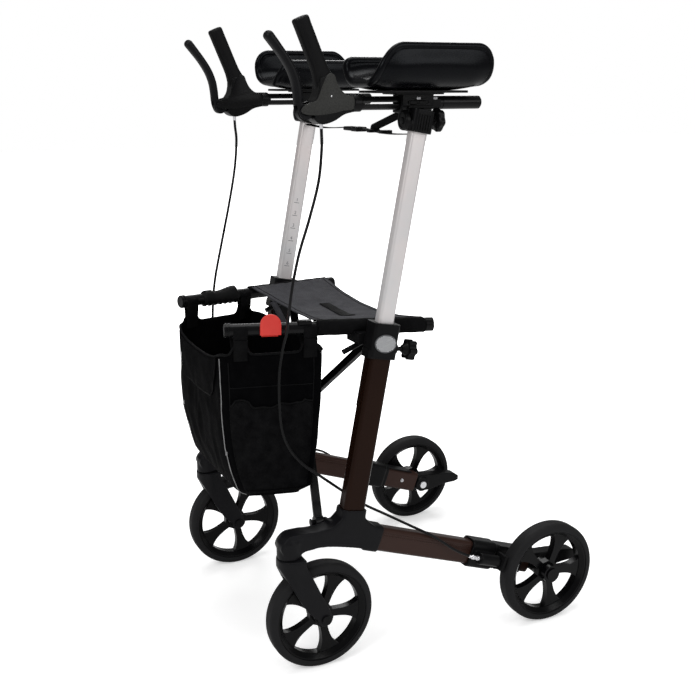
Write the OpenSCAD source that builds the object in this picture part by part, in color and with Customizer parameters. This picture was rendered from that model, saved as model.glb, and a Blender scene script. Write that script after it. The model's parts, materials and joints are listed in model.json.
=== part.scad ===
// Upright walker: a four wheeled rollator with forearm supports, a scissor fold, a sling seat and a bag.
// Millimetres, +Z up, -Y is the direction of travel, +X is the user's left.
// The origin is on the floor under the middle of the walker.

/* [Wheels] */
// Outer diameter of each wheel
wheel_d = 200; // [180:1:220]
// Width of the tyres
tyre_w = 34; // [28:1:40]
// Radial thickness of the tyres
tyre_t = 14; // [10:1:20]
// Radial thickness of the rim ring
rim_t = 9; // [6:1:14]
// Thickness of the spoked web
web_t = 16; // [10:1:24]
// Diameter of the hubs
hub_d = 36; // [28:1:44]
// Number of spokes
spokes = 5; // [4:1:7]
// Width of a spoke at the hub
spoke_w = 14; // [10:1:18]
// Diameter of the axles
axle_d = 10; // [8:1:12]
// Distance between the front and rear axles
wheel_base = 464; // [440:1:500]
// Distance between the middles of the front wheels
front_track = 451; // [430:1:480]
// Distance between the middles of the rear wheels
rear_track = 539; // [525:1:570]
// Distance from the middle of the beam out to the middle of the rear wheel
axle_out = 44; // [40:1:56]

/* [Casters] */
// Distance from the swivel axis back to the front axle
caster_trail = 57; // [45:1:65]
// Height of the swivel joint above the top of the tyre
crown_h = 22; // [18:1:30]
// Diameter of the swivel head
head_d = 44; // [38:1:52]
// Height of the swivel head
head_h = 46; // [42:1:52]
// Diameter of the swivel stem
stem_d = 18; // [14:1:20]
// Thickness of each fork leg
leg_t = 8; // [6:1:11]
// Room between the tyre and a fork leg
leg_gap = 4; // [3:0.5:7]

/* [Side frames] */
// Width of the lower beam
beam_w = 28; // [24:1:32]
// Depth of the lower beam
beam_d = 45; // [40:1:50]
// Slope of the lower beam, down towards the rear
beam_slope = 19.5; // [18:0.5:21]
// Wall of the beam and of the upright
tube_wall = 3; // [2:0.5:4]
// Length of the brake housing along the beam
housing_len = 66; // [56:1:76]
// Lean of the uprights, back from the vertical
lean = 10.5; // [9:0.25:12]
// Width of the lower upright
upright_w = 28; // [25:1:32]
// Depth of the lower upright
upright_d = 42; // [38:1:46]
// Length of lower upright that shows between the casting and the collar
upright_len = 280; // [260:1:300]
// Length of the height collar
collar_len = 58; // [54:1:66]
// Length of the kerb pedal behind the rear axle
pedal_len = 101; // [98:1:120]
// Width of the reflector
reflector_w = 42; // [34:1:44]
// Height of the reflector
reflector_h = 32; // [24:1:36]

/* [Arm supports] */
// Width of the height tube
post_w = 20; // [16:0.5:21]
// Depth of the height tube
post_d = 31; // [26:0.5:33]
// Wall of the height tube
post_wall = 2; // [1.5:0.25:3]
// Length of the height tube
post_len = 520; // [480:1:560]
// Length of height tube that shows above the collar
post_out = 323; // [280:1:340]
// Distance from the middle of the height tube in to the arm rail
arm_inset = 20.5; // [14:0.5:24]
// Diameter of the arm rails
arm_rail_d = 22; // [20:1:24]
// Length of the arm rails
arm_rail_len = 281; // [270:1:300]
// Length of the arm pads
pad_len = 234; // [210:1:244]
// Width of the arm pads
pad_w = 126; // [110:1:136]
// Height of the outer wall of the pads
pad_outer_h = 75; // [66:1:86]
// Height of the inner wall of the pads
pad_inner_h = 52; // [46:1:64]
// Thickness of the padding
pad_t = 12; // [9:1:15]
// Thickness of the plate under the pads
plate_t = 4; // [3:0.5:6]
// Diameter of the star knobs
knob_d = 38; // [32:1:44]

/* [Handles] */
// Diameter of the hand grips
grip_d = 27; // [24:1:32]
// Length of the hand grips
grip_len = 104; // [92:1:118]
// Lean of the grips, forward from the vertical
grip_lean = 23; // [18:0.5:28]
// Thickness of the brake lever
lever_t = 12; // [9:1:14]
// Diameter of the lever pin
lever_pin_d = 6; // [5:0.5:7]
// Diameter of the brake cables
cable_d = 5; // [4:0.5:6]
// Travel of the brake shoes
shoe_travel = 4; // [3:0.5:5]

/* [Seat and fold] */
// Diameter of the seat rails
rail_d = 22; // [20:1:24]
// Height of the front end of the seat rails
rail_front_z = 613.5; // [608:0.5:618]
// Height of the rear end of the seat rails
rail_rear_z = 605.5; // [601:0.5:609]
// Distance from the side frame in to the front end of its seat rail
rail_front_inset = 98; // [92:1:104]
// Distance from the side frame in to the rear end of its seat rail
rail_rear_inset = 14.5; // [12:0.5:18]
// Width of the cross bars
bar_w = 13; // [11:0.5:16]
// Thickness of the cross bars
bar_t = 15; // [12:0.5:17]
// Diameter of the fold pins
fold_pin_d = 10; // [8:1:12]
// Depth of the sag of the seat
seat_sag = 21; // [14:1:30]
// Thickness of the seat cloth
seat_t = 2.5; // [2:0.25:4]

/* [Bag] */
// Height of the bag
bag_h = 268; // [240:1:290]
// Thickness of the bag wall
bag_t = 4; // [3:0.5:6]
// Width of the hanging straps
bag_strap_w = 24; // [16:1:28]

/* [Fits] */
// Radial clearance of pins and bores that turn or slide
run_gap = 0.05; // [0.02:0.01:0.08]
// Clearance between parts that are pushed together
seat_gap = 0.05; // [0.02:0.01:0.1]
// Clearance between parts that move past each other
play = 0.3; // [0.3:0.05:0.6]

/* [Hidden] */
$fn = 64;
eps = 0.01;
black = [0.07, 0.07, 0.075];
soft_black = [0.11, 0.11, 0.115];
brown = [0.24, 0.16, 0.14];
silver = [0.78, 0.77, 0.78];
steel = [0.7, 0.7, 0.72];
grey = [0.28, 0.28, 0.29];
red = [0.77, 0.19, 0.16];

// Wheels and frame plane
wheel_r = wheel_d / 2;
rim_r = wheel_r - tyre_t;
front_x = front_track / 2;
rear_x = rear_track / 2;
frame_x = rear_x - axle_out;
front_y = -wheel_base / 2;
rear_y = wheel_base / 2;
fork_gap = tyre_w / 2 + leg_gap;
hub_w = 2 * (fork_gap - play);
head_y = front_y - caster_trail;
head_z = wheel_d + crown_h;
head_r = head_d / 2;
cap_d = 24;
cap_h = 3;

// Beam: its axis points at the rear axle, and its lengths are counted back from the casting
beam_front_y = front_y + 121;
beam_front_z = wheel_r + (rear_y - beam_front_y) * tan(beam_slope);
beam_axle_s = (rear_y - beam_front_y) / cos(beam_slope);
beam_in = 20;
beam_end_s = beam_axle_s - 18;
housing_end_s = beam_axle_s - wheel_r - 1;
housing_s = housing_end_s - housing_len;
bolt_s = beam_end_s - 40;

// Upright: lengths are counted up its axis from the mouth of the casting
base_y = head_y + 121;
base_z = head_z + 68;
upright_in = 38;
collar_s = upright_len;
collar_top_s = collar_s + collar_len;
collar_w = upright_w + 8;
collar_d = upright_d + 8;
upright_top_s = collar_top_s - 20;
post_top_s = collar_top_s + post_out + 12;
post_bottom_s = post_top_s - post_len;
knob_s = collar_s + 14;
reflector_s = collar_s + 24;

// Arm support
arm_x = frame_x - arm_inset;
arm_rail_r = arm_rail_d / 2;
clamp_bottom_s = post_top_s - 12;
clamp_bolt_z = base_z + post_top_s * cos(lean) + 8;
clamp_y = base_y + post_top_s * sin(lean) - 1;
arm_z = clamp_bolt_z + 28;
clamp_wall = 5;
clamp_len = 58;
clamp_top_z = arm_z + arm_rail_r + 2.5;
clamp_side = 16;
clamp_bolt_d = 8;
clamp_bolt_x = frame_x - 3;
pad_y = clamp_y + 4;
under_t = 2.5;
plate_z = clamp_top_z + under_t;
pad_z = plate_z + plate_t + seat_gap;

// Handle, placed from the front end of the arm rail
arm_rail_front_y = clamp_y - 150;
arm_rail_rear_y = arm_rail_front_y + arm_rail_len;
grip_y = arm_rail_front_y - 12;
grip_z = arm_z + 35;
lever_y = arm_rail_front_y - 47;
lever_z = arm_z - 14;
nose_r = 9;
cheek_r = 11;
cheek_t = 4;
nose_t = 12;
cheek_x = nose_t / 2 + play + cheek_t / 2;
handle_w = 30;

// Seat rails and fold: the pivots lie on axes along Y
rail_r = rail_d / 2;
rail_front = [frame_x - rail_front_inset, front_y - 130, rail_front_z];
rail_rear = [frame_x - rail_rear_inset, front_y + 230, rail_rear_z];
rail_way = rail_rear - rail_front;
rail_len = norm(rail_way);
pivot_x = frame_x - 30;
pivot_z = base_z - 28;
pivot_y = base_y - 40;
bar_top_y = base_y + 74;
bar_split = bar_t / 2 + 4;
eye_r = 11;
lug_t = 7;
pin_head = 2;

// Bag and whole length
bag_front_y = rail_front[1] - 9;
bag_rear_y = bag_front_y + 184;
bag_top_z = rail_front_z - 44;
bag_bottom_z = bag_top_z - bag_h;
whole_front = -bag_front_y;
whole_rear = rear_y + pedal_len;
y_shift = (whole_front - whole_rear) / 2;

// Arcs, curves and outlines
function arc(c, r, a0, a1, n) =
    [for (i = [0 : n]) let (a = a0 + (a1 - a0) * i / n) [c[0] + r * cos(a), c[1] + r * sin(a)]];
function round_rect(w, d, r, n = 5) = concat(
    arc([w / 2 - r, d / 2 - r], r, 0, 90, n), arc([r - w / 2, d / 2 - r], r, 90, 180, n),
    arc([r - w / 2, r - d / 2], r, 180, 270, n), arc([w / 2 - r, r - d / 2], r, 270, 360, n));
function ellipse(w, h, n = 48) = [for (i = [0 : n - 1]) [w / 2 * cos(360 * i / n), h / 2 * sin(360 * i / n)]];
function curve_point(a, b, c, d, t) =
    (2 * b + (c - a) * t + (2 * a - 5 * b + 4 * c - d) * t * t + (3 * b - a - 3 * c + d) * t * t * t) / 2;
function curve(p, n) = let (m = len(p)) concat(
    [for (i = [0 : m - 2], k = [0 : n - 1])
        curve_point(p[max(i - 1, 0)], p[i], p[i + 1], p[min(i + 2, m - 1)], k / n)],
    [p[m - 1]]);
function loop_curve(p, n) = let (m = len(p)) [for (i = [0 : m - 1], k = [0 : n - 1])
    curve_point(p[(i + m - 1) % m], p[i], p[(i + 1) % m], p[(i + 2) % m], k / n)];
function reversed(p) = [for (i = [len(p) - 1 : -1 : 0]) p[i]];
function unit(v) = v / norm(v);
function heading(p, i) = unit(p[min(i + 1, len(p) - 1)] - p[max(i - 1, 0)]);
function ribbon(p, t) = let (side = [for (i = [0 : len(p) - 1]) let (h = heading(p, i)) [-h[1], h[0]] * t / 2])
    concat([for (i = [0 : len(p) - 1]) p[i] + side[i]], reversed([for (i = [0 : len(p) - 1]) p[i] - side[i]]));
function rail_at(y) = rail_front + rail_way * (y - rail_front[1]) / rail_way[1];
function upright_y(z) = base_y + (z - base_z) * tan(lean);

// Skin over equal rings of points, closed at both ends by strips across each ring
function ring_skin(rings, m) = concat(
    [for (i = [0 : rings - 2], k = [0 : m - 1]) [i * m + k, i * m + (k + 1) % m, (i + 1) * m + (k + 1) % m]],
    [for (i = [0 : rings - 2], k = [0 : m - 1]) [i * m + k, (i + 1) * m + (k + 1) % m, (i + 1) * m + k]]);
function strip_cap(start, m, flip) = [for (k = [0 : m / 2 - 2], h = [0, 1])
    let (a = start + k, b = start + k + 1, c = start + m - 2 - k, d = start + m - 1 - k,
        f = h == 0 ? [a, b, c] : [a, c, d]) flip ? reversed(f) : f];
function fan_cap(start, m, flip) = [for (k = [1 : m - 2])
    flip ? [start, start + k + 1, start + k] : [start, start + k, start + k + 1]];
function turned(faces) = [for (f = faces) reversed(f)];

module on_side(side) translate([0, y_shift, 0]) mirror([side < 0 ? 1 : 0, 0, 0]) children();
module yz(x, w) translate([x - w / 2, 0, 0]) rotate([90, 0, 90]) linear_extrude(w) children();
module x_rod(d, l) rotate([0, 90, 0]) cylinder(d = d, h = l, center = true);
module y_rod(d, l) rotate([90, 0, 0]) cylinder(d = d, h = l, center = true);
module along(p, q) {
    v = q - p;
    translate(p) rotate([0, acos(v[2] / norm(v)), atan2(v[1], v[0])]) children();
}
module on_upright() translate([frame_x, base_y, base_z]) rotate([-lean, 0, 0]) children();
module on_beam() translate([frame_x, beam_front_y, beam_front_z]) rotate([-90 - beam_slope, 0, 0]) children();
module bar(w, d, r, s0, s1) translate([0, 0, s0]) linear_extrude(s1 - s0) polygon(round_rect(w, d, r));
module star_knob(d, h) {
    cylinder(d = d * 0.8, h = h);
    for (a = [0 : 60 : 300]) rotate([0, 0, a]) translate([d * 0.37, 0, 0]) cylinder(d = d * 0.26, h = h);
}

// Wheels
module tyre() color(black) rotate([0, 90, 0]) rotate_extrude($fn = 120) {
    shoulder = tyre_w * 0.28;
    polygon(concat([[rim_r, tyre_w / 2]], [[rim_r, -tyre_w / 2]],
        arc([wheel_r - shoulder, shoulder - tyre_w / 2], shoulder, -90, 0, 6),
        arc([wheel_r - shoulder, tyre_w / 2 - shoulder], shoulder, 0, 90, 6)));
}
function spoke_half(r, r0, r1) = spoke_w / 2 + spoke_w * pow((r - r0) / (r1 - r0), 3);
function window_outline() = let (
    r0 = hub_d / 2 + 5, r1 = rim_r - rim_t,
    side = [for (i = [0 : 8]) let (r = r0 + (r1 - r0) * i / 8)
        [r, 180 / spokes - asin(spoke_half(r, r0, r1) / r)]],
    polar = concat(side, [for (i = [1 : 5]) [r1, side[8][1] * (1 - 2 * i / 6)]],
        [for (p = reversed(side)) [p[0], -p[1]]]))
    [for (p = polar) [p[0] * cos(p[1]), p[0] * sin(p[1])]];
module rim(cap, turn) color(soft_black) rotate([0, 90, 0]) difference() {
    union() {
        rotate_extrude($fn = 120) polygon([[rim_r - rim_t - 2, -web_t / 2], [rim_r - 3, 2 - tyre_w / 2],
            [rim_r - seat_gap, 2 - tyre_w / 2], [rim_r - seat_gap, tyre_w / 2 - 2],
            [rim_r - 3, tyre_w / 2 - 2], [rim_r - rim_t - 2, web_t / 2]]);
        difference() {
            cylinder(r = rim_r - rim_t, h = web_t - 2, center = true);
            for (i = [0 : spokes - 1]) rotate([0, 0, turn + 360 * i / spokes])
                translate([0, 0, -web_t]) linear_extrude(2 * web_t) polygon(window_outline());
        }
        cylinder(d = hub_d, h = hub_w, center = true);
        if (cap) translate([0, 0, hub_w / 2 - eps]) cylinder(d = cap_d, h = cap_h + eps);
    }
    translate([0, 0, -hub_w]) cylinder(r = axle_d / 2 + run_gap, h = hub_w + hub_w / 2 + (cap ? -6 : hub_w));
}
module front_rim() translate([front_x, front_y, wheel_r]) rim(false, 48);
module front_tyre() translate([front_x, front_y, wheel_r]) tyre();
module rear_rim() translate([rear_x, rear_y, wheel_r]) rim(true, 48);
module rear_tyre() translate([rear_x, rear_y, wheel_r]) tyre();
module front_axle() color(steel) translate([front_x, front_y, wheel_r]) {
    x_rod(axle_d, 2 * (fork_gap + leg_t));
    for (side = [-1, 1]) translate([side * (fork_gap + leg_t + 1.5), 0, 0]) x_rod(axle_d + 6, 3);
}
module rear_axle() color(steel) translate([0, rear_y, wheel_r]) {
    inner = frame_x - beam_w / 2 - 3 - seat_gap;
    outer = rear_x + hub_w / 2 - 8;
    translate([(inner - 1 + outer) / 2, 0, 0]) x_rod(axle_d, outer - inner + 1);
    translate([inner - 2, 0, 0]) x_rod(axle_d + 6, 4);
    spacer_in = frame_x + beam_w / 2 + 3 + play;
    spacer_out = rear_x - hub_w / 2 - play;
    translate([(spacer_in + spacer_out) / 2, 0, 0]) x_rod(axle_d + 8, spacer_out - spacer_in);
}

// Caster fork: one bent blade with a slot for the wheel
function fork_outline() = let (y = front_y, z = wheel_r) concat(
    [[head_y - head_r, head_z], [head_y - head_r - 1, head_z - 14]],
    curve([[head_y - head_r + 9, head_z - 33], [y - 51, z + 51], [y - 33, z + 21], [y - 14, z]], 4),
    arc([y, z], 14, 200, 350, 8),
    curve([[y + 11, z + 12], [y - 5, z + 45], [y - 23, z + 84], [head_y + head_r - 1, head_z - 12]], 4),
    [[head_y + head_r, head_z]]);
function fork_plan() = let (r = fork_gap + leg_t, y = head_y - head_r + r) concat(
    arc([front_x, y - 1], r + eps, 180, 360, 16),
    [[front_x + r + eps, front_y + 30], [front_x - r - eps, front_y + 30]]);
module caster_fork() color(black) difference() {
    union() {
        intersection() {
            yz(front_x, 2 * (fork_gap + leg_t)) polygon(fork_outline());
            linear_extrude(head_z) polygon(fork_plan());
        }
        translate([front_x, head_y, head_z - eps]) cylinder(d = stem_d, h = head_h - 12);
    }
    translate([front_x, front_y, wheel_r]) x_rod(2 * (wheel_r + 5), 2 * fork_gap);
    translate([front_x, front_y, wheel_r]) x_rod(axle_d + 2 * seat_gap, 4 * fork_gap);
}

// Front casting: swivel head, socket of the upright, socket of the beam and lug of the fold pin
function casting_outline() = let (z = head_z) concat(
    curve([[head_y - 6, z + play], [head_y - head_r + 1, z + 22], [head_y - 9, z + 41], [head_y + 10, z + 45],
        [head_y + 48, z + 43], [head_y + 78, z + 47], [base_y - upright_d / 2 - 3, z + 61]], 4),
    [[base_y + upright_d / 2, z + 50]],
    curve([[base_y + upright_d / 2 + 8, z + 40], [beam_front_y - 10, beam_front_z + beam_d / 2 + 3]], 3),
    [[beam_front_y - 24, beam_front_z - beam_d / 2 + 6]],
    curve([[head_y + 147, z - 11], [head_y + 107, z + 1], [head_y + 63, z + 11], [head_y + 32, z + 11],
        [head_y + 18, z + 8], [head_y + 8, z + play]], 4));
module front_casting(pin_side) color(black) {
    pin_len = lug_t / 2 + bar_split + bar_t / 2 + 3;
    neck_d = head_h - 19;
    neck_from = [front_x, head_y, head_z + 26.5];
    neck_to = [frame_x, head_y + 60, head_z + 27];
    difference() {
        union() {
            translate([front_x, head_y, head_z + play]) cylinder(d = head_d, h = head_h - 14);
            translate([front_x, head_y, head_z + play + head_h - 14 - eps])
                cylinder(r1 = head_r, r2 = head_r - 9, h = 9);
            along(neck_from, neck_to) cylinder(d = neck_d, h = norm(neck_to - neck_from));
            yz(frame_x, upright_w + 6) polygon(casting_outline());
            on_upright() bar(upright_w + 7, upright_d + 7, 8, -upright_in - 8, 2);
            on_beam() bar(beam_w + 6, beam_d + 5, 8, -beam_in - 16, -6);
            translate([0, pivot_y - lug_t / 2, 0]) rotate([-90, 0, 0]) linear_extrude(lug_t)
                polygon([[pivot_x - eye_r + 1, 2 - pivot_z], [pivot_x - 8, -3 - pivot_z], [pivot_x + 1, -8 - pivot_z],
                    [frame_x, -eye_r - pivot_z], [frame_x, eye_r - pivot_z], [pivot_x - 4, eye_r - pivot_z]]);
        }
        on_upright() bar(upright_w + 2 * seat_gap, upright_d + 2 * seat_gap, 7, -upright_in, 20);
        on_beam() bar(beam_w + 2 * seat_gap, beam_d + 2 * seat_gap, 7, -beam_in, 20);
        translate([front_x, head_y, head_z - 1]) cylinder(r = stem_d / 2 + run_gap, h = head_h - 10);
    }
    translate([pivot_x, pivot_y - pin_side * pin_len / 2, pivot_z]) y_rod(fold_pin_d, pin_len);
    translate([pivot_x, pivot_y - pin_side * (pin_len + pin_head / 2 - eps), pivot_z])
        y_rod(fold_pin_d + 8, pin_head);
}

// Beam with its end open at the front, and the pedal that closes its rear end
module lower_beam() color(brown) difference() {
    on_beam() bar(beam_w, beam_d, 7, -beam_in, beam_end_s);
    on_beam() bar(beam_w - 2 * tube_wall, beam_d - 2 * tube_wall, 4, -beam_in - 1, beam_end_s + 1);
}
module kerb_pedal() color(black) difference() {
    union() {
        yz(frame_x, beam_w - 2) polygon(concat(
            arc([rear_y, wheel_r], 17, 270, 140, 8),
            curve([[rear_y - 6, wheel_r + 22], [rear_y + 38, wheel_r + 18], [rear_y + 70, wheel_r + 15],
                [rear_y + pedal_len - 10, wheel_r + 11]], 4),
            [[rear_y + pedal_len, wheel_r + 4], [rear_y + pedal_len, wheel_r - 6]],
            curve([[rear_y + pedal_len - 10, wheel_r - 9], [rear_y + 55, wheel_r - 11],
                [rear_y + 22, wheel_r - 18]], 4)));
        translate([frame_x, rear_y, wheel_r]) x_rod(34, beam_w + 6);
        on_beam() bar(beam_w - 2 * tube_wall - 2 * seat_gap, beam_d - 2 * tube_wall - 2 * seat_gap, 4,
            bolt_s - 16, beam_end_s + 4);
    }
    translate([frame_x, rear_y, wheel_r]) x_rod(axle_d + 2 * seat_gap, 3 * beam_w);
    on_beam() intersection() {
        bar(beam_w + 10, beam_d + 10, 4, beam_end_s - 30, beam_end_s + seat_gap);
        difference() {
            bar(beam_w + 20, beam_d + 20, 4, beam_end_s - 40, beam_end_s + 1);
            bar(beam_w - 2 * tube_wall - 2 * seat_gap, beam_d - 2 * tube_wall - 2 * seat_gap, 4,
                beam_end_s - 50, beam_end_s + 2);
        }
    }
}

// Brake: a sleeve on the beam with a barrel for the shoe, and the shoe on its plunger
shoe_x = beam_w / 2 + 21;
barrel_d = 22;
plunger_d = 9;
module brake_housing() color(black) difference() {
    union() {
        on_beam() bar(beam_w + 10, beam_d + 9, 9, housing_s, housing_end_s - 10);
        on_beam() bar(beam_w + 6, beam_d + 4, 8, housing_end_s - 10 - eps, housing_end_s);
        on_beam() translate([shoe_x, 0, housing_s + 8]) cylinder(d = barrel_d, h = housing_len - 22);
        on_beam() translate([beam_w / 2, -barrel_d / 2 + 3, housing_s + 8])
            cube([shoe_x - beam_w / 2, barrel_d - 6, housing_len - 22]);
    }
    on_beam() bar(beam_w + 2 * seat_gap, beam_d + 2 * seat_gap, 7, housing_s - 5, housing_end_s + 5);
    on_beam() translate([shoe_x, 0, housing_s + 20]) cylinder(r = plunger_d / 2 + run_gap, h = housing_len);
}
module brake_shoe() color(soft_black) difference() {
    union() {
        on_beam() translate([shoe_x, 0, housing_s + 26])
            cylinder(d = plunger_d, h = housing_end_s - housing_s - 22);
        on_beam() translate([shoe_x - 12, -15, housing_end_s - 9]) cube([26, 30, 14]);
    }
    translate([rear_x, rear_y, wheel_r]) x_rod(2 * (wheel_r + shoe_travel + play), 2 * tyre_w);
}

// Upright and its collar with the saddle of the seat rail
module lower_upright() color(brown) on_upright() difference() {
    bar(upright_w, upright_d, 7, -upright_in, upright_top_s);
    bar(upright_w - 2 * tube_wall, upright_d - 2 * tube_wall, 4, -upright_in - 1, upright_top_s + 1);
}
knob_stud_d = 8;
saddle_y = upright_y(rail_front_z - 20) - collar_d / 2 - 2;
module upright_collar() color(black) difference() {
    union() {
        on_upright() bar(collar_w, collar_d, 6, collar_s, collar_top_s);
        on_upright() bar(collar_w - 4, collar_d + 5, 6, collar_s - 4, collar_s + 10);
        on_upright() translate([0, collar_d / 2 - 2, knob_s]) rotate([-90, 0, 0]) cylinder(d = 20, h = 8);
        translate([rail_at(saddle_y)[0] - rail_r - 4, saddle_y - 9, rail_at(saddle_y)[2] - rail_r - 14])
            cube([frame_x - collar_w / 2 + 3 - rail_at(saddle_y)[0] + rail_r + 4, 18, rail_r + 9]);
    }
    on_upright() bar(upright_w + 2 * seat_gap, upright_d + 2 * seat_gap, 7, collar_s - 10, upright_top_s + seat_gap);
    on_upright() bar(post_w + 2 * play, post_d + 2 * play, 6, collar_s, collar_top_s + 5);
    on_upright() translate([collar_w / 2 - 2, 0, reflector_s]) rotate([90, 0, 90])
        linear_extrude(5) polygon(ellipse(reflector_w + 2 * seat_gap, reflector_h + 2 * seat_gap));
    on_upright() translate([0, 0, knob_s]) rotate([-90, 0, 0]) cylinder(r = knob_stud_d / 2 + run_gap, h = collar_d);
    along(rail_front, rail_rear) cylinder(r = rail_r + play, h = rail_len);
}
module reflector() color([0.85, 0.86, 0.87]) on_upright() translate([collar_w / 2 - 2 + seat_gap, 0, reflector_s])
    rotate([90, 0, 90]) linear_extrude(3) polygon(ellipse(reflector_w, reflector_h));
module height_knob() color(black) on_upright() translate([0, 0, knob_s]) rotate([-90, 0, 0]) {
    start = upright_d / 2 + play;
    translate([0, 0, start]) cylinder(d = knob_stud_d, h = collar_d / 2 + 32 - start);
    translate([0, 0, collar_d / 2 + 18]) cylinder(r1 = 6, r2 = 12, h = 10);
    translate([0, 0, collar_d / 2 + 27]) star_knob(knob_d, 14);
}

// Height tube with the clamp that carries the arm rail
module height_tube() color(silver) on_upright() difference() {
    bar(post_w, post_d, 6, post_bottom_s, post_top_s);
    bar(post_w - 2 * post_wall, post_d - 2 * post_wall, 4, post_bottom_s - 1, post_top_s + 1);
}
disc_t = 8;
module arm_clamp() color(black) difference() {
    front = clamp_y - clamp_len / 2;
    union() {
        translate([arm_x - clamp_side, front, arm_z - arm_rail_r - clamp_wall])
            cube([2 * clamp_side, clamp_len, clamp_top_z - arm_z + arm_rail_r + clamp_wall]);
        on_upright() bar(post_w + 14, post_d + 9, 8, clamp_bottom_s, post_top_s + 26);
        translate([clamp_bolt_x, clamp_y - 20 - disc_t / 2, clamp_bolt_z]) y_rod(32, disc_t);
    }
    translate([arm_x, clamp_y, arm_z]) y_rod(arm_rail_d + 2 * run_gap, 3 * clamp_len);
    on_upright() bar(post_w + 2 * seat_gap, post_d + 2 * seat_gap, 6, clamp_bottom_s - 5, post_top_s + seat_gap);
    translate([clamp_bolt_x, clamp_y + 20, clamp_bolt_z]) y_rod(clamp_bolt_d + 2 * run_gap, 88);
}
module clamp_knob() color(black) translate([clamp_bolt_x, clamp_y, clamp_bolt_z]) rotate([-90, 0, 0]) {
    translate([0, 0, -22]) cylinder(d = clamp_bolt_d, h = 54);
    translate([0, 0, 26]) cylinder(d = clamp_bolt_d + 4, h = 5);
    translate([0, 0, clamp_len / 2 + play]) star_knob(knob_d - 3, 11);
}
slot_h = 3;
free_end = arm_rail_rear_y - clamp_y - clamp_len / 2 - 27;
module arm_rail() color(black) difference() {
    union() {
        translate([arm_x, (arm_rail_front_y + arm_rail_rear_y) / 2, arm_z]) y_rod(arm_rail_d, arm_rail_len - 4);
        translate([arm_x, arm_rail_rear_y - 2 - eps, arm_z]) rotate([-90, 0, 0])
            cylinder(r1 = arm_rail_r, r2 = arm_rail_r - 2, h = 2);
    }
    translate([arm_x, arm_rail_front_y + arm_rail_len / 2 - 12, arm_z]) y_rod(arm_rail_d - 6, arm_rail_len - 6);
    translate([arm_x - arm_rail_d, arm_rail_front_y + 56, arm_z - slot_h / 2]) cube([2 * arm_rail_d, 90, slot_h]);
    translate([arm_x, arm_rail_rear_y - 2 - free_end, arm_z]) difference() {
        y_rod(arm_rail_d + 2, 2);
        y_rod(arm_rail_d - 1.6, 3);
    }
}
module pad_plate() color(grey) {
    translate([arm_x - 32, pad_y - 88, plate_z]) cube([62, 174, plate_t]);
    translate([arm_x - 26, clamp_y - 43, clamp_top_z + seat_gap]) cube([50, 90, under_t - seat_gap + eps]);
    difference() {
        translate([arm_x + clamp_side + play, clamp_y - clamp_len / 2, arm_z - 5])
            cube([4, clamp_len, clamp_top_z - arm_z + 5 + under_t]);
        for (k = [-1, 0, 1]) translate([arm_x + clamp_side, clamp_y + 17 * k, arm_z + 1]) x_rod(5, 20);
    }
}

// Arm pad: a padded trough, higher on its outer side; both walls end in rounds when seen from the side
pad_rows = 16;
pad_corner = 34;
function end_round(z, r) = let (d = min(abs(z - r), r - 0.5)) r - sqrt(r * r - d * d);
function pad_front(q) = let (w = min(1, max(0, 0.5 + q[0] / pad_w)))
    ((1 - w) * 40 * asin(min(1, max(0, q[1] / pad_inner_h))) + w * 58 * asin(min(1, max(0, q[1] / pad_outer_h)))) / 90;
function pad_rear(q) = let (w = min(1, max(0, 0.5 + q[0] / pad_w)))
    (1 - w) * end_round(q[1], pad_inner_h / 2) + w * end_round(q[1], pad_outer_h / 2);
function pad_path() = let (half = (pad_w - pad_t) / 2, low = pad_t / 2, mid = low + pad_corner) concat(
    [[-half, pad_inner_h - 2], [-half, pad_inner_h - 7]],
    arc([pad_corner - half, mid], pad_corner, 180, 270, 6), [[0, low + 1]],
    arc([half - pad_corner, mid], pad_corner, 270, 360, 6),
    [[half, (pad_outer_h + mid) / 2], [half, pad_outer_h - 7], [half, pad_outer_h - 2]]);
function pad_ring(u) = let (
    p = pad_path(), n = len(p), last = n - 1, thin = 1 - 0.5 * pow(abs(2 * u - 1), 12),
    swell = [for (i = [0 : last]) (pad_t / 2) * thin * (i == 0 || i == last ? 0.5 : 0.9 + 0.2 * sin(180 * i / last))],
    side = [for (i = [0 : last]) let (h = heading(p, i)) [h[1], -h[0]] * swell[i]],
    loop = concat([for (i = [0 : last]) p[i] + side[i]], reversed([for (i = [0 : last]) p[i] - side[i]])))
    [for (q = loop) let (a = pad_front(q), b = pad_len - pad_rear(q)) [q[0], a + (b - a) * u, q[1]]];
module arm_pad() color(black) {
    rings = [for (i = [0 : pad_rows]) pad_ring((1 - cos(180 * i / pad_rows)) / 2)];
    m = len(rings[0]);
    floor_z = min([for (r = rings, q = r) q[2]]);
    points = [for (r = rings, q = r) q + [arm_x, pad_y - pad_len / 2, pad_z - floor_z]];
    polyhedron(points, concat(ring_skin(pad_rows + 1, m), strip_cap(0, m, true), strip_cap(pad_rows * m, m, false)));
}

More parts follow.
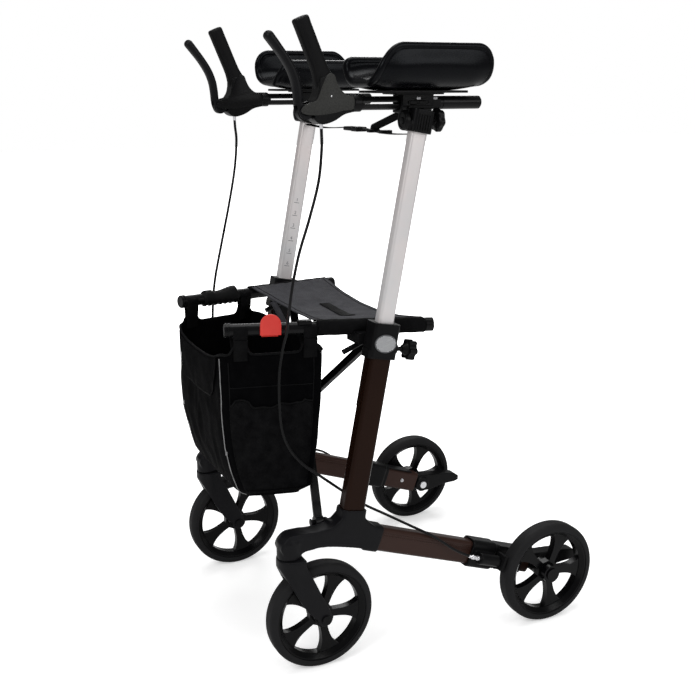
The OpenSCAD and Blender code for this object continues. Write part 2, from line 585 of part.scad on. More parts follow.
// Handle: housing on the front end of the arm rail, grip, and the lever on its pin
function housing_outline() = let (y = arm_rail_front_y, z = arm_z) concat(
    curve([[y - 25, z + 40], [y - 26, z + 24], [y - 29, z + 12], [y - 35, z + 2], [y - 34, z - 14],
        [y - 34, z - 25], [y - 20, z - 32], [y, z - 27], [y + 18, z - 17], [y + 36, z - 13]], 4),
    [[y + 36, z + 12]],
    curve([[y + 22, z + 14], [y + 8, z + 22], [y - 1, z + 36], [y - 4, z + 46]], 4));
module handle_housing() color(grey) difference() {
    union() {
        yz(arm_x, handle_w) polygon(housing_outline());
        yz(arm_x, nose_t) polygon(concat(arc([lever_y, lever_z], nose_r, 110, 250, 8),
            [[lever_y + 16, lever_z - nose_r], [lever_y + 16, lever_z + nose_r]]));
        translate([arm_x, lever_y, lever_z]) x_rod(lever_pin_d, 2 * (cheek_x + cheek_t / 2));
        translate([arm_x, arm_rail_front_y + 40, arm_z]) y_rod(arm_rail_d + 5, 26);
        translate([arm_x, grip_y, grip_z]) rotate([grip_lean, 0, 0]) cylinder(d = grip_d - 9, h = grip_len * 0.5);
    }
    translate([arm_x, arm_rail_front_y + 60 - seat_gap, arm_z]) y_rod(arm_rail_d + 2 * seat_gap, 120);
    translate([arm_x, cable_top[1], arm_z - 40]) cylinder(d = cable_d + 2 * play, h = 16);
}
module hand_grip() color(black) translate([arm_x, grip_y, grip_z]) rotate([grip_lean, 0, 0]) difference() {
    r = grip_d / 2;
    rotate_extrude() polygon(concat([[0, 12], [r - 1, 12]], [[r, 16], [r + 0.5, grip_len * 0.45]],
        arc([r - 4, grip_len - 4], 4, 0, 90, 5), [[0, grip_len]]));
    translate([0, 0, -1]) cylinder(r = grip_d / 2 - 4.5 + seat_gap, h = grip_len * 0.5 + 1 + seat_gap);
}
function lever_path() = let (y = lever_y, z = lever_z) curve([[y - 10, z + 13], [y - 11, z + 31], [y - 14, z + 48],
    [y - 21, z + 66], [y - 32, z + 84], [y - 45, z + 101], [y - 58, z + 117]], 4);
module brake_lever() color(black) difference() {
    union() {
        yz(arm_x, 18) polygon(ribbon(lever_path(), lever_t));
        yz(arm_x, 16) polygon(arc(lever_path()[24], lever_t * 0.62, 0, 350, 16));
        for (side = [-1, 1]) {
            translate([arm_x + side * cheek_x, lever_y, lever_z]) x_rod(2 * cheek_r, cheek_t);
            yz(arm_x + side * cheek_x, cheek_t) polygon([[lever_y - cheek_r, lever_z - 2],
                [lever_y - 10 - lever_t / 2, lever_z + 13], [lever_y - 11 - lever_t / 2, lever_z + 24],
                [lever_y - 11 + lever_t / 2, lever_z + 24], [lever_y + 6, lever_z + 8]]);
        }
    }
    translate([arm_x, lever_y, lever_z]) x_rod(lever_pin_d + 2 * run_gap, 40);
    translate([arm_x, lever_y, lever_z]) x_rod(2 * (nose_r + 2), nose_t + 2 * play);
}

// Brake cable: from the handle down outside the seat rail and the bag, over the beam to the brake
cable_top = [arm_x, arm_rail_front_y - 17.5, arm_z - 26];
cable_end_s = housing_s + 8 - play;
cable_end = [frame_x + beam_w / 2 + 21, beam_front_y + cable_end_s * cos(beam_slope),
    beam_front_z - cable_end_s * sin(beam_slope)];
function by_frame(x, y, z) = [frame_x + x, base_y + y, z];
function by_beam(x, up, s) = [frame_x + x, beam_front_y + s * cos(beam_slope) + up * sin(beam_slope),
    beam_front_z - s * sin(beam_slope) + up * cos(beam_slope)];
beam_top = beam_d / 2 + cable_d / 2;
cable_foot = [
    by_frame(-52.5, -113, base_z + 185), by_frame(-51.5, -108, base_z + 140), by_frame(-49.5, -94, base_z + 106),
    by_frame(-46.5, -71, base_z + 77), by_frame(-39.5, -44, base_z + 55), by_frame(-33.5, -5, base_z + 23),
    by_frame(-27.5, 34, base_z - 8), by_beam(-19.5, beam_top + 12, 12), by_beam(-3.5, beam_top + 6.5, 55),
    by_beam(beam_w / 2 + 5.5, beam_top - 2, 102), by_beam(beam_w / 2 + 13.5, 8, 147),
    cable_end - [3, 20, -8], cable_end];
left_route = concat([cable_top, cable_top - [0, -1, 20], cable_top - [0, -1, 47], by_frame(-19.5, -51, arm_z - 123),
    by_frame(-15.5, -69, arm_z - 180), by_frame(-12.5, -90, arm_z - 238), by_frame(-14.5, -102, rail_front_z + 81),
    by_frame(-23.5, -105, rail_front_z + 36), by_frame(-39.5, -103, rail_front_z - 2),
    by_frame(-47.5, -108, rail_front_z - 34), by_frame(-51.5, -113, rail_front_z - 79)], cable_foot);
right_route = concat([cable_top, cable_top - [0, -1, 25], cable_top - [0, -3, 54], by_frame(-21.5, -49, arm_z - 136),
    by_frame(-23.5, -64, arm_z - 206), by_frame(-27.5, -82, arm_z - 276), by_frame(-34.5, -100, rail_front_z + 31),
    by_frame(-41.5, -109, rail_front_z - 16), by_frame(-48.5, -114, rail_front_z - 74)], cable_foot);
cable_sides = 8;
function cable_frame(p, i) = let (t = heading(p, i), u = unit(cross(t, [1, 0.3, 0.1]))) [u, cross(t, u)];
module brake_cable(route) color(black) {
    p = curve(route, 2);
    n = len(p);
    points = [for (i = [0 : n - 1], k = [0 : cable_sides - 1]) let (f = cable_frame(p, i), a = 360 * k / cable_sides)
        p[i] + cable_d / 2 * (f[0] * cos(a) + f[1] * sin(a))];
    polyhedron(points, turned(concat(ring_skin(n, cable_sides), fan_cap(0, cable_sides, true),
        fan_cap((n - 1) * cable_sides, cable_sides, false))));
}

// Seat rail with its cross bar, welded: the bar of each side reaches down to the other side
module cross_frame(bar_side) color(black) {
    low = [-pivot_x, pivot_y + bar_side * bar_split, pivot_z];
    top = [rail_at(bar_top_y)[0], bar_top_y + bar_side * bar_split, rail_at(bar_top_y)[2]];
    share = -low[0] / (top[0] - low[0]);
    middle = low + (top - low) * share;
    difference() {
        union() {
            along(rail_front, rail_rear) {
                cylinder(d = rail_d, h = rail_len);
                for (k = [0 : 1]) translate([0, 0, 2 + 5 * k]) cylinder(d = rail_d + 3, h = 3);
                translate([0, 0, rail_len - 14]) cylinder(d = rail_d + 3, h = 14);
            }
            difference() {
                along(low, top) translate([-bar_w / 2, -bar_t / 2, 0]) cube([bar_w, bar_t, norm(top - low)]);
                translate([low[0], low[1], low[2]]) y_rod(2 * eye_r - 1, 3 * bar_t);
            }
            translate(low) y_rod(2 * eye_r, bar_t);
            translate(middle) y_rod(bar_w + 3, bar_t);
            if (bar_side > 0) translate(middle - [0, bar_split, 0]) {
                translate([0, 1.5, 0]) y_rod(fold_pin_d + 3, 2 * (bar_split - bar_t / 2) - 2);
                translate([0, -bar_split / 2, 0]) y_rod(fold_pin_d, 2 * bar_split + 11);
                translate([0, -bar_split - bar_t / 2 - 4.5, 0]) y_rod(fold_pin_d + 4, 3);
            }
        }
        translate(low) y_rod(fold_pin_d + 2 * run_gap, 2 * bar_t);
        if (bar_side < 0) translate(middle) y_rod(fold_pin_d + 2 * run_gap, 2 * bar_t);
    }
}

// Red clip on the left rail and finger grip on the right rail
clip_y = front_y - 53;
clip_w = 36;
clip_h = 29;
clip_t = 4;
module fold_clip() color(red) along(rail_at(clip_y - 1), rail_at(clip_y + 1)) difference() {
    union() {
        translate([0, 0, -clip_w / 2 + 4]) cylinder(d = rail_d + 4, h = clip_w - 8);
        translate([0, -rail_r - 1, 0]) rotate([90, 0, 0]) linear_extrude(clip_t) polygon(concat(
            [[rail_r - 4, -clip_w / 2]], [[rail_r - 4, clip_w / 2]],
            arc([clip_w / 2 - clip_h, 0], clip_w / 2, 90, 270, 16)));
    }
    translate([0, 0, -clip_w]) cylinder(r = rail_r + run_gap, h = 2 * clip_w);
}
carry_y = front_y - 44;
carry_len = 80;
module carry_grip() color(black) along(rail_at(carry_y - 1), rail_at(carry_y + 1)) rotate_extrude() polygon(concat(
    [[rail_r + seat_gap, -carry_len / 2]],
    [for (i = [0 : 40]) [rail_r + 3.6 + 1.6 * cos(360 * 4 * i / 40 + 180), carry_len * (i / 40 - 0.5)]],
    [[rail_r + seat_gap, carry_len / 2]]));

// Seat: a cloth that laps over both rails and sags between them
seat_front_y = front_y + 28;
seat_rear_y = front_y + 212;
seat_rows = 10;
seat_half = 12;
seat_bow = 30;
lap_r = (rail_r * rail_len / rail_way[1] + play) / cos(15) + seat_t / 2;
function seat_half_path(y) = let (r = rail_at(y), depth = (y - seat_front_y) / (seat_rear_y - seat_front_y),
    start = [r[0] + lap_r * cos(120), r[2] + lap_r * sin(120)],
    sag = seat_sag * (1 + 0.15 * sin(180 * depth)))
    concat([for (a = [0 : 30 : 90]) [r[0] + lap_r * cos(a), r[2] + lap_r * sin(a)]],
        [for (i = [0 : seat_half - 4]) let (t = i / (seat_half - 3.5))
            [start[0] * (1 - t), start[1] - sag * (1 - (1 - t) * (1 - t)) - 1.5 * sin(540 * t) * sin(180 * depth)]]);
function seat_y(x, y) = y + seat_bow * max(0, 1 - pow(x / rail_at(y)[0], 2))
    * (seat_rear_y - y) / (seat_rear_y - seat_front_y);
function seat_path(y) = let (h = seat_half_path(y)) concat(h, reversed([for (q = h) [-q[0], q[1]]]));
module seat_sling() color(grey) {
    ys = [for (i = [0 : seat_rows]) seat_front_y + (seat_rear_y - seat_front_y) * i / seat_rows];
    rings = [for (y = ys) let (p = seat_path(y), n = len(p)) concat(
        [for (i = [0 : n - 1]) let (h = heading(p, i), q = p[i] - [-h[1], h[0]] * seat_t / 2)
            [q[0], seat_y(q[0], y), q[1]]],
        reversed([for (i = [0 : n - 1]) let (h = heading(p, i), q = p[i] + [-h[1], h[0]] * seat_t / 2)
            [q[0], seat_y(q[0], y), q[1]]]))];
    m = len(rings[0]);
    polyhedron([for (r = rings, q = r) q],
        concat(ring_skin(seat_rows + 1, m), strip_cap(0, m, true), strip_cap(seat_rows * m, m, false)));
}

// Bag: an open sack that narrows downwards, with four straps round the rails
bag_turn = 40;
bag_levels = [[0, 14], [0.04, 4], [0.12, 0], [0.28, 0], [0.45, 0], [0.65, 0], [0.85, 0], [1, 0]];
function bag_front(t) = bag_front_y + 34 * pow(max(0, 0.65 - t) / 0.65, 2.4);
function bag_rear(t) = bag_rear_y - 26 * pow(1 - t, 2);
function bag_ring(t, inset) = let (
    y0 = bag_front(t) + inset, y1 = bag_rear(t) - inset, mid = (y0 + y1) / 2, z = bag_bottom_z + bag_h * t)
    [for (i = [0 : bag_turn - 1]) let (
        a = 360 * i / bag_turn, c = cos(a), s = sin(a),
        y = mid + (y1 - y0) / 2 * sign(s) * pow(abs(s), 0.17),
        half = rail_at(y)[0] + 6 + 5 * sin(180 * t) - inset)
        [half * sign(c) * pow(abs(c), 0.17), y, z]];
module shopping_bag() color(black) {
    outer = [for (l = bag_levels) bag_ring(l[0], l[1])];
    inner = [for (l = reversed(bag_levels)) [for (q = bag_ring(l[0], l[1] + bag_t))
        q + [0, 0, l[0] == 1 ? 0 : bag_t * (1 - l[0])]]];
    rings = concat(outer, inner);
    n = len(rings);
    polyhedron([for (r = rings, q = r) q], turned(concat(ring_skin(n, bag_turn), fan_cap(0, bag_turn, true),
        fan_cap((n - 1) * bag_turn, bag_turn, false))));
    for (side = [-1, 1], y = [bag_front_y + 33, bag_rear_y - 33]) mirror([side < 0 ? 1 : 0, 0, 0]) {
        at = rail_at(y);
        difference() {
            union() {
                translate([at[0] - 7, y - bag_strap_w / 2, bag_top_z - 30])
                    cube([9, bag_strap_w, at[2] - bag_top_z + 30]);
                along(rail_at(y - bag_strap_w / 2), rail_at(y + bag_strap_w / 2))
                    cylinder(r = rail_r + play + 2, h = bag_strap_w * rail_len / rail_way[1]);
            }
            along(rail_front, rail_rear) cylinder(r = rail_r + play, h = rail_len);
        }
    }
}

// Safety strap between the height tubes, parted at its buckle, with a stay up to the left arm rail
strap_w = 15;
strap_t = 2;
strap_z = arm_z - 50.5;
strap_y = clamp_y - 4;
module strap(path) translate([0, strap_y + strap_w / 2, 0]) rotate([90, 0, 0])
    linear_extrude(strap_w) polygon(ribbon(path, strap_t));
module left_strap() color(black) {
    strap(curve([[frame_x - post_w / 2 - play, strap_z], [frame_x - 95, strap_z - 3], [20, strap_z + 2]], 6));
    translate([0, strap_y - 11, strap_z - 4]) cube([24, 22, 8]);
    strap([[64, strap_z + 1], [84, strap_z + 8], [arm_x - clamp_side - play, arm_z - arm_rail_r]]);
}
module right_strap() color(black) {
    strap(curve([[-20, strap_z + 2], [95 - frame_x, strap_z - 3], [play + post_w / 2 - frame_x, strap_z]], 6));
    translate([-34, strap_y - 11, strap_z - 4]) cube([34 - play, 22, 8]);
}

on_side(1) front_casting(1);  // left_front_casting
on_side(-1) front_casting(-1);  // right_front_casting
on_side(1) lower_beam();  // left_lower_beam
on_side(-1) lower_beam();  // right_lower_beam
on_side(1) brake_housing();  // left_brake_housing
on_side(-1) brake_housing();  // right_brake_housing
on_side(1) lower_upright();  // left_lower_upright
on_side(-1) lower_upright();  // right_lower_upright
on_side(1) upright_collar();  // left_upright_collar
on_side(-1) upright_collar();  // right_upright_collar
on_side(1) reflector();  // left_reflector
on_side(-1) reflector();  // right_reflector
on_side(1) kerb_pedal();  // left_kerb_pedal
on_side(-1) kerb_pedal();  // right_kerb_pedal
on_side(1) rear_axle();  // left_rear_axle
on_side(-1) rear_axle();  // right_rear_axle
on_side(1) caster_fork();  // left_caster_fork
on_side(-1) caster_fork();  // right_caster_fork
on_side(1) front_axle();  // left_front_axle
on_side(-1) front_axle();  // right_front_axle
on_side(1) front_rim();  // left_front_rim
on_side(-1) front_rim();  // right_front_rim
on_side(1) front_tyre();  // left_front_tyre
on_side(-1) front_tyre();  // right_front_tyre
on_side(1) rear_rim();  // left_rear_rim
on_side(-1) rear_rim();  // right_rear_rim
on_side(1) rear_tyre();  // left_rear_tyre
on_side(-1) rear_tyre();  // right_rear_tyre
on_side(1) height_knob();  // left_height_knob
on_side(-1) height_knob();  // right_height_knob
on_side(1) height_tube();  // left_height_tube
on_side(-1) height_tube();  // right_height_tube
on_side(1) arm_clamp();  // left_arm_clamp
on_side(-1) arm_clamp();  // right_arm_clamp
on_side(1) clamp_knob();  // left_clamp_knob
on_side(-1) clamp_knob();  // right_clamp_knob
on_side(1) arm_rail();  // left_arm_rail
on_side(-1) arm_rail();  // right_arm_rail
on_side(1) pad_plate();  // left_pad_plate
on_side(-1) pad_plate();  // right_pad_plate
on_side(1) arm_pad();  // left_arm_pad
on_side(-1) arm_pad();  // right_arm_pad
on_side(1) handle_housing();  // left_handle_housing
on_side(-1) handle_housing();  // right_handle_housing
on_side(1) hand_grip();  // left_hand_grip
on_side(-1) hand_grip();  // right_hand_grip
on_side(1) brake_lever();  // left_brake_lever
on_side(-1) brake_lever();  // right_brake_lever
on_side(1) brake_shoe();  // left_brake_shoe
on_side(-1) brake_shoe();  // right_brake_shoe
on_side(1) brake_cable(left_route);  // left_brake_cable
on_side(-1) brake_cable(right_route);  // right_brake_cable
on_side(1) cross_frame(1);  // left_cross_frame
on_side(-1) cross_frame(-1);  // right_cross_frame
on_side(1) left_strap();
on_side(1) right_strap();
on_side(1) seat_sling();
on_side(1) shopping_bag();
on_side(1) fold_clip();
on_side(-1) carry_grip();
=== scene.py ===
import bpy
import bmesh
import json
from math import copysign, cos, exp, pi, radians, sin, sqrt
from mathutils import Matrix, Vector, noise


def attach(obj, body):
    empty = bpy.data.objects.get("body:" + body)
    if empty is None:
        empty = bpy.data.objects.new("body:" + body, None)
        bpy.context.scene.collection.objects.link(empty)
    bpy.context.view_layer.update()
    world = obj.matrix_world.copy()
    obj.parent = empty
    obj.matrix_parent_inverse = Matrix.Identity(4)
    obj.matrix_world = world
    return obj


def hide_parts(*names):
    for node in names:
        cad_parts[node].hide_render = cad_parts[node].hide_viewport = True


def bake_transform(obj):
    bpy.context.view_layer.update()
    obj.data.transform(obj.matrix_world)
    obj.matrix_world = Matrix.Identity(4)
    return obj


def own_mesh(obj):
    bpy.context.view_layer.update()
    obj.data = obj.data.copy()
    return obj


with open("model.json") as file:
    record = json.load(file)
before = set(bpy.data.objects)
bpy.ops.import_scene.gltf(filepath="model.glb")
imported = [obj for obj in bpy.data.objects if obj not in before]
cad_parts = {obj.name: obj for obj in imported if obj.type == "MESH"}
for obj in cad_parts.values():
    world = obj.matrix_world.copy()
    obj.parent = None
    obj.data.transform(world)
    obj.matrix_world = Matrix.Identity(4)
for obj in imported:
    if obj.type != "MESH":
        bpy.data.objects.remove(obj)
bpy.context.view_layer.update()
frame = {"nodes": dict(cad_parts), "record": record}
nodes = frame["nodes"]
bodyOf = {n: b for b, members in frame["record"]["behaviour"]["bodies"].items() for n in members}
slotOf = {s["node"]: s["material_slot"] for s in frame["record"]["subparts"]}
print("frame loaded:", len(nodes), "nodes")

# the walker's own sizes, in mm, as in the CAD source, where y starts 19 mm behind the frame's origin
yShift = 19.0
frameX, armX = 225.5, 205.0
railFront, railRear = Vector((127.5, -362.0, 613.5)), Vector((211.0, -2.0, 605.5))
baseY, baseZ, lean = -168.0, 290.0, radians(10.5)
beamY, beamZ, slope = -111.0, 221.463, radians(19.5)
armZ, armRailFrontY = 987.7306, -196.3545
clampY, clampBoltZ = -46.3545, 959.7306
bothSides = ((1, "left"), (-1, "right"))
squareAxes = ((1, 0, 0), (0, 1, 0), (0, 0, 1))
uprightAxes = ((1, 0, 0), (0, cos(lean), -sin(lean)), (0, sin(lean), cos(lean)))
beamAxes = ((1, 0, 0), (0, sin(slope), cos(slope)), (0, cos(slope), -sin(slope)))


def mm(p):
    return Vector((p[0], p[1] + yShift, p[2])) / 1000.0


def spot(side, p):
    return mm((p[0] * side, p[1], p[2]))


def railAt(y):
    return railFront + (railRear - railFront) * ((y - railFront.y) / (railRear.y - railFront.y))


def onUpright(x, d, s):
    return Vector((frameX + x, baseY + s * sin(lean) + d * cos(lean),
                   baseZ + s * cos(lean) - d * sin(lean)))


def onBeam(x, up, s):
    return Vector((frameX + x, beamY + s * cos(slope) + up * sin(slope),
                   beamZ - s * sin(slope) + up * cos(slope)))


def arcPoint(r, degrees):
    return r * cos(radians(degrees)), r * sin(radians(degrees))


def steps(n):
    return [i / n for i in range(n + 1)]


def smoothstep(a, b, x):
    t = min(1.0, max(0.0, (x - a) / (b - a)))
    return t * t * (3 - 2 * t)


def spline(points, n):
    out, last = [], len(points) - 1
    for i in range(last):
        a, b = Vector(points[max(i - 1, 0)]), Vector(points[i])
        c, d = Vector(points[i + 1]), Vector(points[min(i + 2, last)])
        for k in range(n):
            t = k / n
            out.append((2 * b + (c - a) * t + (2 * a - 5 * b + 4 * c - d) * t * t
                        + (3 * b - a - 3 * c + d) * t ** 3) / 2)
    return out + [Vector(points[last])]


def along(path, i):
    return (path[min(i + 1, len(path) - 1)] - path[max(i - 1, 0)]).normalized()


def pathLength(path):
    return sum((b - a).length for a, b in zip(path, path[1:]))


def srgb(r, g, b):
    linear = [pow((c / 255 + 0.055) / 1.055, 2.4) if c > 10 else c / 255 / 12.92 for c in (r, g, b)]
    return (*linear, 1.0)


# camera fitted to the photograph
cameraLook = dict(place=(1.70995, -0.87782, 1.02211), forward=(-0.86973, 0.42215, -0.25565), lens=52.123)


def addObject(name, data):
    piece = bpy.data.objects.new(name, data)
    bpy.context.scene.collection.objects.link(piece)
    return piece


def aim(piece, at, way):
    piece.location = at
    piece.rotation_euler = Vector(way).to_track_quat("-Z", "Y").to_euler()


def makeCamera(look):
    data = bpy.data.cameras.new("camera")
    data.lens, data.sensor_width = look["lens"], 36.0
    data.clip_start, data.clip_end = 0.05, 60.0
    camera = addObject("camera", data)
    aim(camera, look["place"], look["forward"])
    bpy.context.scene.camera = camera


makeCamera(cameraLook)


# mesh helpers: places in metres from spot or mm, sizes in mm
def addPiece(name, verts, faces, paint=None, sharp=None):
    mesh = bpy.data.meshes.new(name)
    mesh.from_pydata([tuple(v) for v in verts], [], faces)
    mesh.validate()
    mesh.update()
    mesh.shade_smooth()
    if sharp is not None:
        mesh.set_sharp_from_angle(angle=radians(sharp))
    if paint is not None:
        mesh.materials.append(finishes[paint])
    return addObject(name, mesh)


def bakedMesh(piece, material):
    bpy.context.view_layer.update()
    mesh = bpy.data.meshes.new_from_object(piece.evaluated_get(bpy.context.evaluated_depsgraph_get()))
    mesh.materials.clear()
    mesh.materials.append(material)
    return mesh


def outward(piece, weld=0.0):
    bm = bmesh.new()
    bm.from_mesh(piece.data)
    if weld:
        bmesh.ops.remove_doubles(bm, verts=bm.verts, dist=weld)
    bmesh.ops.recalc_face_normals(bm, faces=bm.faces)
    bm.to_mesh(piece.data)
    bm.free()
    return piece


def skin(rings, closed=True, caps=True):
    m, faces = len(rings[0]), []
    for i in range(len(rings) - 1):
        for k in range(m if closed else m - 1):
            j = (k + 1) % m
            faces.append((i * m + k, i * m + j, (i + 1) * m + j, (i + 1) * m + k))
    if caps:
        faces.append(tuple(reversed(range(m))))
        faces.append(tuple((len(rings) - 1) * m + k for k in range(m)))
    return [p for r in rings for p in r], faces


def loft(name, rings, paint, sharp=50):
    return outward(addPiece(name, *skin(rings), paint, sharp))


def layered(piece, thick, offset=0.0):
    layer = piece.modifiers.new("thick", "SOLIDIFY")
    layer.thickness, layer.offset = thick / 1000, offset
    return piece


def clothPiece(name, rows, thick, paint):
    return layered(addPiece(name, *skin(rows, closed=False, caps=False), paint), thick)


def ovalRing(centre, a, b, half, deep, sides=28, power=0.75):
    def bend(v):
        return copysign(pow(abs(v), power), v)

    turns = [2 * pi * k / sides for k in range(sides)]
    return [Vector(centre) + Vector(a) * half * bend(cos(w)) + Vector(b) * deep * bend(sin(w))
            for w in turns]


def roundEnd(d, r):
    return sqrt(max(0.0004, 1 - (1 - min(1.0, max(0.0, d / r))) ** 2))


def tube(name, path, radius, sides, paint):
    rings, across = [], along(path, 0).cross(Vector((0.31, 0.87, 0.38))).normalized()
    for i, p in enumerate(path):
        t = along(path, i)
        across = (across - t * across.dot(t)).normalized()
        rings.append(ovalRing(p, across, t.cross(across), radius / 1000, radius / 1000, sides, 1))
    return loft(name, rings, paint)


def lathe(name, origin, axis, profile, paint, segments=32, sharp=35, lobes=0, lobeDepth=0.0):
    axis = Vector(axis).normalized()
    a = axis.orthogonal().normalized()
    b = axis.cross(a)
    rings = []
    for r, s in profile:
        ring = []
        for k in range(segments):
            w = 2 * pi * k / segments
            q = max(r * (1 + lobeDepth * cos(lobes * w)), 0.01) / 1000
            ring.append(Vector(origin) + axis * s / 1000 + (a * cos(w) + b * sin(w)) * q)
        rings.append(ring)
    return loft(name, rings, paint, sharp)


def block(name, centre, size, axes, bevel, paint):
    ax = [Vector(a).normalized() for a in axes]
    corners = [(x, y, z) for x in (-1, 1) for y in (-1, 1) for z in (-1, 1)]
    verts = [Vector(centre) + sum((ax[i] * size[i] / 2000 * c[i] for i in range(3)), Vector())
             for c in corners]
    faces = [(0, 1, 3, 2), (4, 6, 7, 5), (0, 4, 5, 1), (2, 3, 7, 6), (0, 2, 6, 4), (1, 5, 7, 3)]
    piece = outward(addPiece(name, verts, faces, paint))
    edge = piece.modifiers.new("edge", "BEVEL")
    edge.width, edge.segments, edge.limit_method = bevel / 1000, 3, "ANGLE"
    edge.harden_normals = True
    return piece


def band(name, path, across, width, thick, paint):
    rings, deep = [], thick / 2000
    for i, p in enumerate(path):
        t = along(path, i)
        w = Vector(across)
        w = (w - t * w.dot(t)).normalized()
        n = t.cross(w)
        half = (width(i / (len(path) - 1)) if callable(width) else width) / 2000
        e = min(deep * 0.9, half * 0.4)
        lower = [(-half, e - deep), (e - half, -deep), (half - e, -deep), (half, e - deep)]
        rings.append([p + w * x + n * y for x, y in lower + [(-x, -y) for x, y in lower]])
    return loft(name, rings, paint, 60)


def place(piece, body, *replaced, slot=None):
    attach(piece, body)
    if replaced:
        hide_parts(*replaced)
    return piece


# shared surface effects, as shader groups
def makeGroup(name, inputs, outputs):
    group = bpy.data.node_groups.new(name, "ShaderNodeTree")
    for label, value in inputs:
        kind = "NodeSocketVector" if isinstance(value, tuple) else "NodeSocketFloat"
        group.interface.new_socket(label, in_out="INPUT", socket_type=kind).default_value = value
    for label in outputs:
        group.interface.new_socket(label, in_out="OUTPUT", socket_type="NodeSocketFloat")
    return group, group.nodes.new("NodeGroupInput"), group.nodes.new("NodeGroupOutput")


def feed(tree, value, socket):
    if isinstance(value, (int, float, tuple)):
        socket.default_value = value
    else:
        tree.links.new(value, socket)


def math2(tree, op, *values):
    node = tree.nodes.new("ShaderNodeMath")
    node.operation = op
    for i, value in enumerate(values):
        feed(tree, value, node.inputs[i])
    return node.outputs[0]


def noiseNode(tree, vector, scale, detail=3.0, rough=0.55):
    node = tree.nodes.new("ShaderNodeTexNoise")
    for label, value in (("Detail", detail), ("Roughness", rough), ("Vector", vector), ("Scale", scale)):
        feed(tree, value, node.inputs[label])
    return node.outputs["Fac"]


def mapRange(tree, *values):
    node = tree.nodes.new("ShaderNodeMapRange")
    node.clamp = True
    for i, value in enumerate(values):
        feed(tree, value, node.inputs[i])
    return node.outputs[0]


def mixColour(tree, factor, a, b):
    node = tree.nodes.new("ShaderNodeMix")
    node.data_type = "RGBA"
    for i, value in ((0, factor), (6, a), (7, b)):
        feed(tree, value, node.inputs[i])
    return node.outputs[2]


def objectCoords(tree):
    return tree.nodes.new("ShaderNodeTexCoord").outputs["Object"]


def makeGrain():
    group, gin, gout = makeGroup("mouldGrain", [("Size", 1800.0), ("Blotch", 18.0)], ["Height", "Blotch"])
    pos = objectCoords(group)
    group.links.new(noiseNode(group, pos, gin.outputs["Size"], 2.0), gout.inputs["Height"])
    blotch = noiseNode(group, pos, gin.outputs["Blotch"], 4.0, 0.6)
    group.links.new(mapRange(group, blotch, 0.3, 0.7, 0.0, 1.0), gout.inputs["Blotch"])
    return group


def makeWeave():
    inputs = [("Warp", (1.0, 0.0, 0.0)), ("Weft", (0.0, 1.0, 0.0)), ("Threads", 900.0)]
    group, gin, gout = makeGroup("clothWeave", inputs, ["Height", "Thread"])
    pos = objectCoords(group)
    waves = []
    for label in ("Warp", "Weft"):
        dot = group.nodes.new("ShaderNodeVectorMath")
        dot.operation = "DOT_PRODUCT"
        group.links.new(pos, dot.inputs[0])
        group.links.new(gin.outputs[label], dot.inputs[1])
        turn = math2(group, "MULTIPLY", dot.outputs["Value"], gin.outputs["Threads"])
        waves.append(math2(group, "SINE", math2(group, "MULTIPLY", turn, 2 * pi)))
    over = math2(group, "MULTIPLY", *waves)
    height = math2(group, "ADD", math2(group, "MULTIPLY", over, 0.5), 0.5)
    fuzz = math2(group, "MULTIPLY", noiseNode(group, pos, 2600.0, 2.0), 0.35)
    group.links.new(math2(group, "ADD", fuzz, height), gout.inputs["Height"])
    thread = noiseNode(group, pos, 60.0, 3.0)
    group.links.new(mapRange(group, thread, 0.3, 0.7, 0.0, 1.0), gout.inputs["Thread"])
    return group


def makeMask(name, amount, first, second):
    group, gin, gout = makeGroup(name, [("Amount", amount)], ["Mask"])
    both = math2(group, "MULTIPLY", first(group), second(group))
    group.links.new(math2(group, "MULTIPLY", both, gin.outputs["Amount"]), gout.inputs["Mask"])
    return group


def rawEdge(tree):
    geometry = tree.nodes.new("ShaderNodeNewGeometry")
    return mapRange(tree, geometry.outputs["Pointiness"], 0.52, 0.62, 0.0, 1.0)


def rubbedPatch(tree):
    return mapRange(tree, noiseNode(tree, objectCoords(tree), 90.0, 4.0), 0.42, 0.62, 0.0, 1.0)


def facingUp(tree):
    split = tree.nodes.new("ShaderNodeSeparateXYZ")
    tree.links.new(tree.nodes.new("ShaderNodeNewGeometry").outputs["Normal"], split.inputs[0])
    return mapRange(tree, split.outputs["Z"], 0.1, 0.9, 0.0, 1.0)


def dustPatch(tree):
    return mapRange(tree, noiseNode(tree, objectCoords(tree), 30.0, 5.0, 0.65), 0.35, 0.7, 0.0, 1.0)


groups = {"grain": makeGrain(), "weave": makeWeave(), "wear": makeMask("edgeWear", 0.5, rawEdge, rubbedPatch),
          "dust": makeMask("dustFilm", 0.2, facingUp, dustPatch)}
dustColour = srgb(120, 118, 115)
shaderInputs = (("Metallic", "metal", 0.0), ("Coat Weight", "coat", 0.0), ("Sheen Weight", "sheen", 0.0),
                ("Coat Roughness", "coatRough", 0.15), ("Specular IOR Level", "gloss", 0.5),
                ("Specular Tint", "shine", (1.0, 1.0, 1.0, 1.0)))


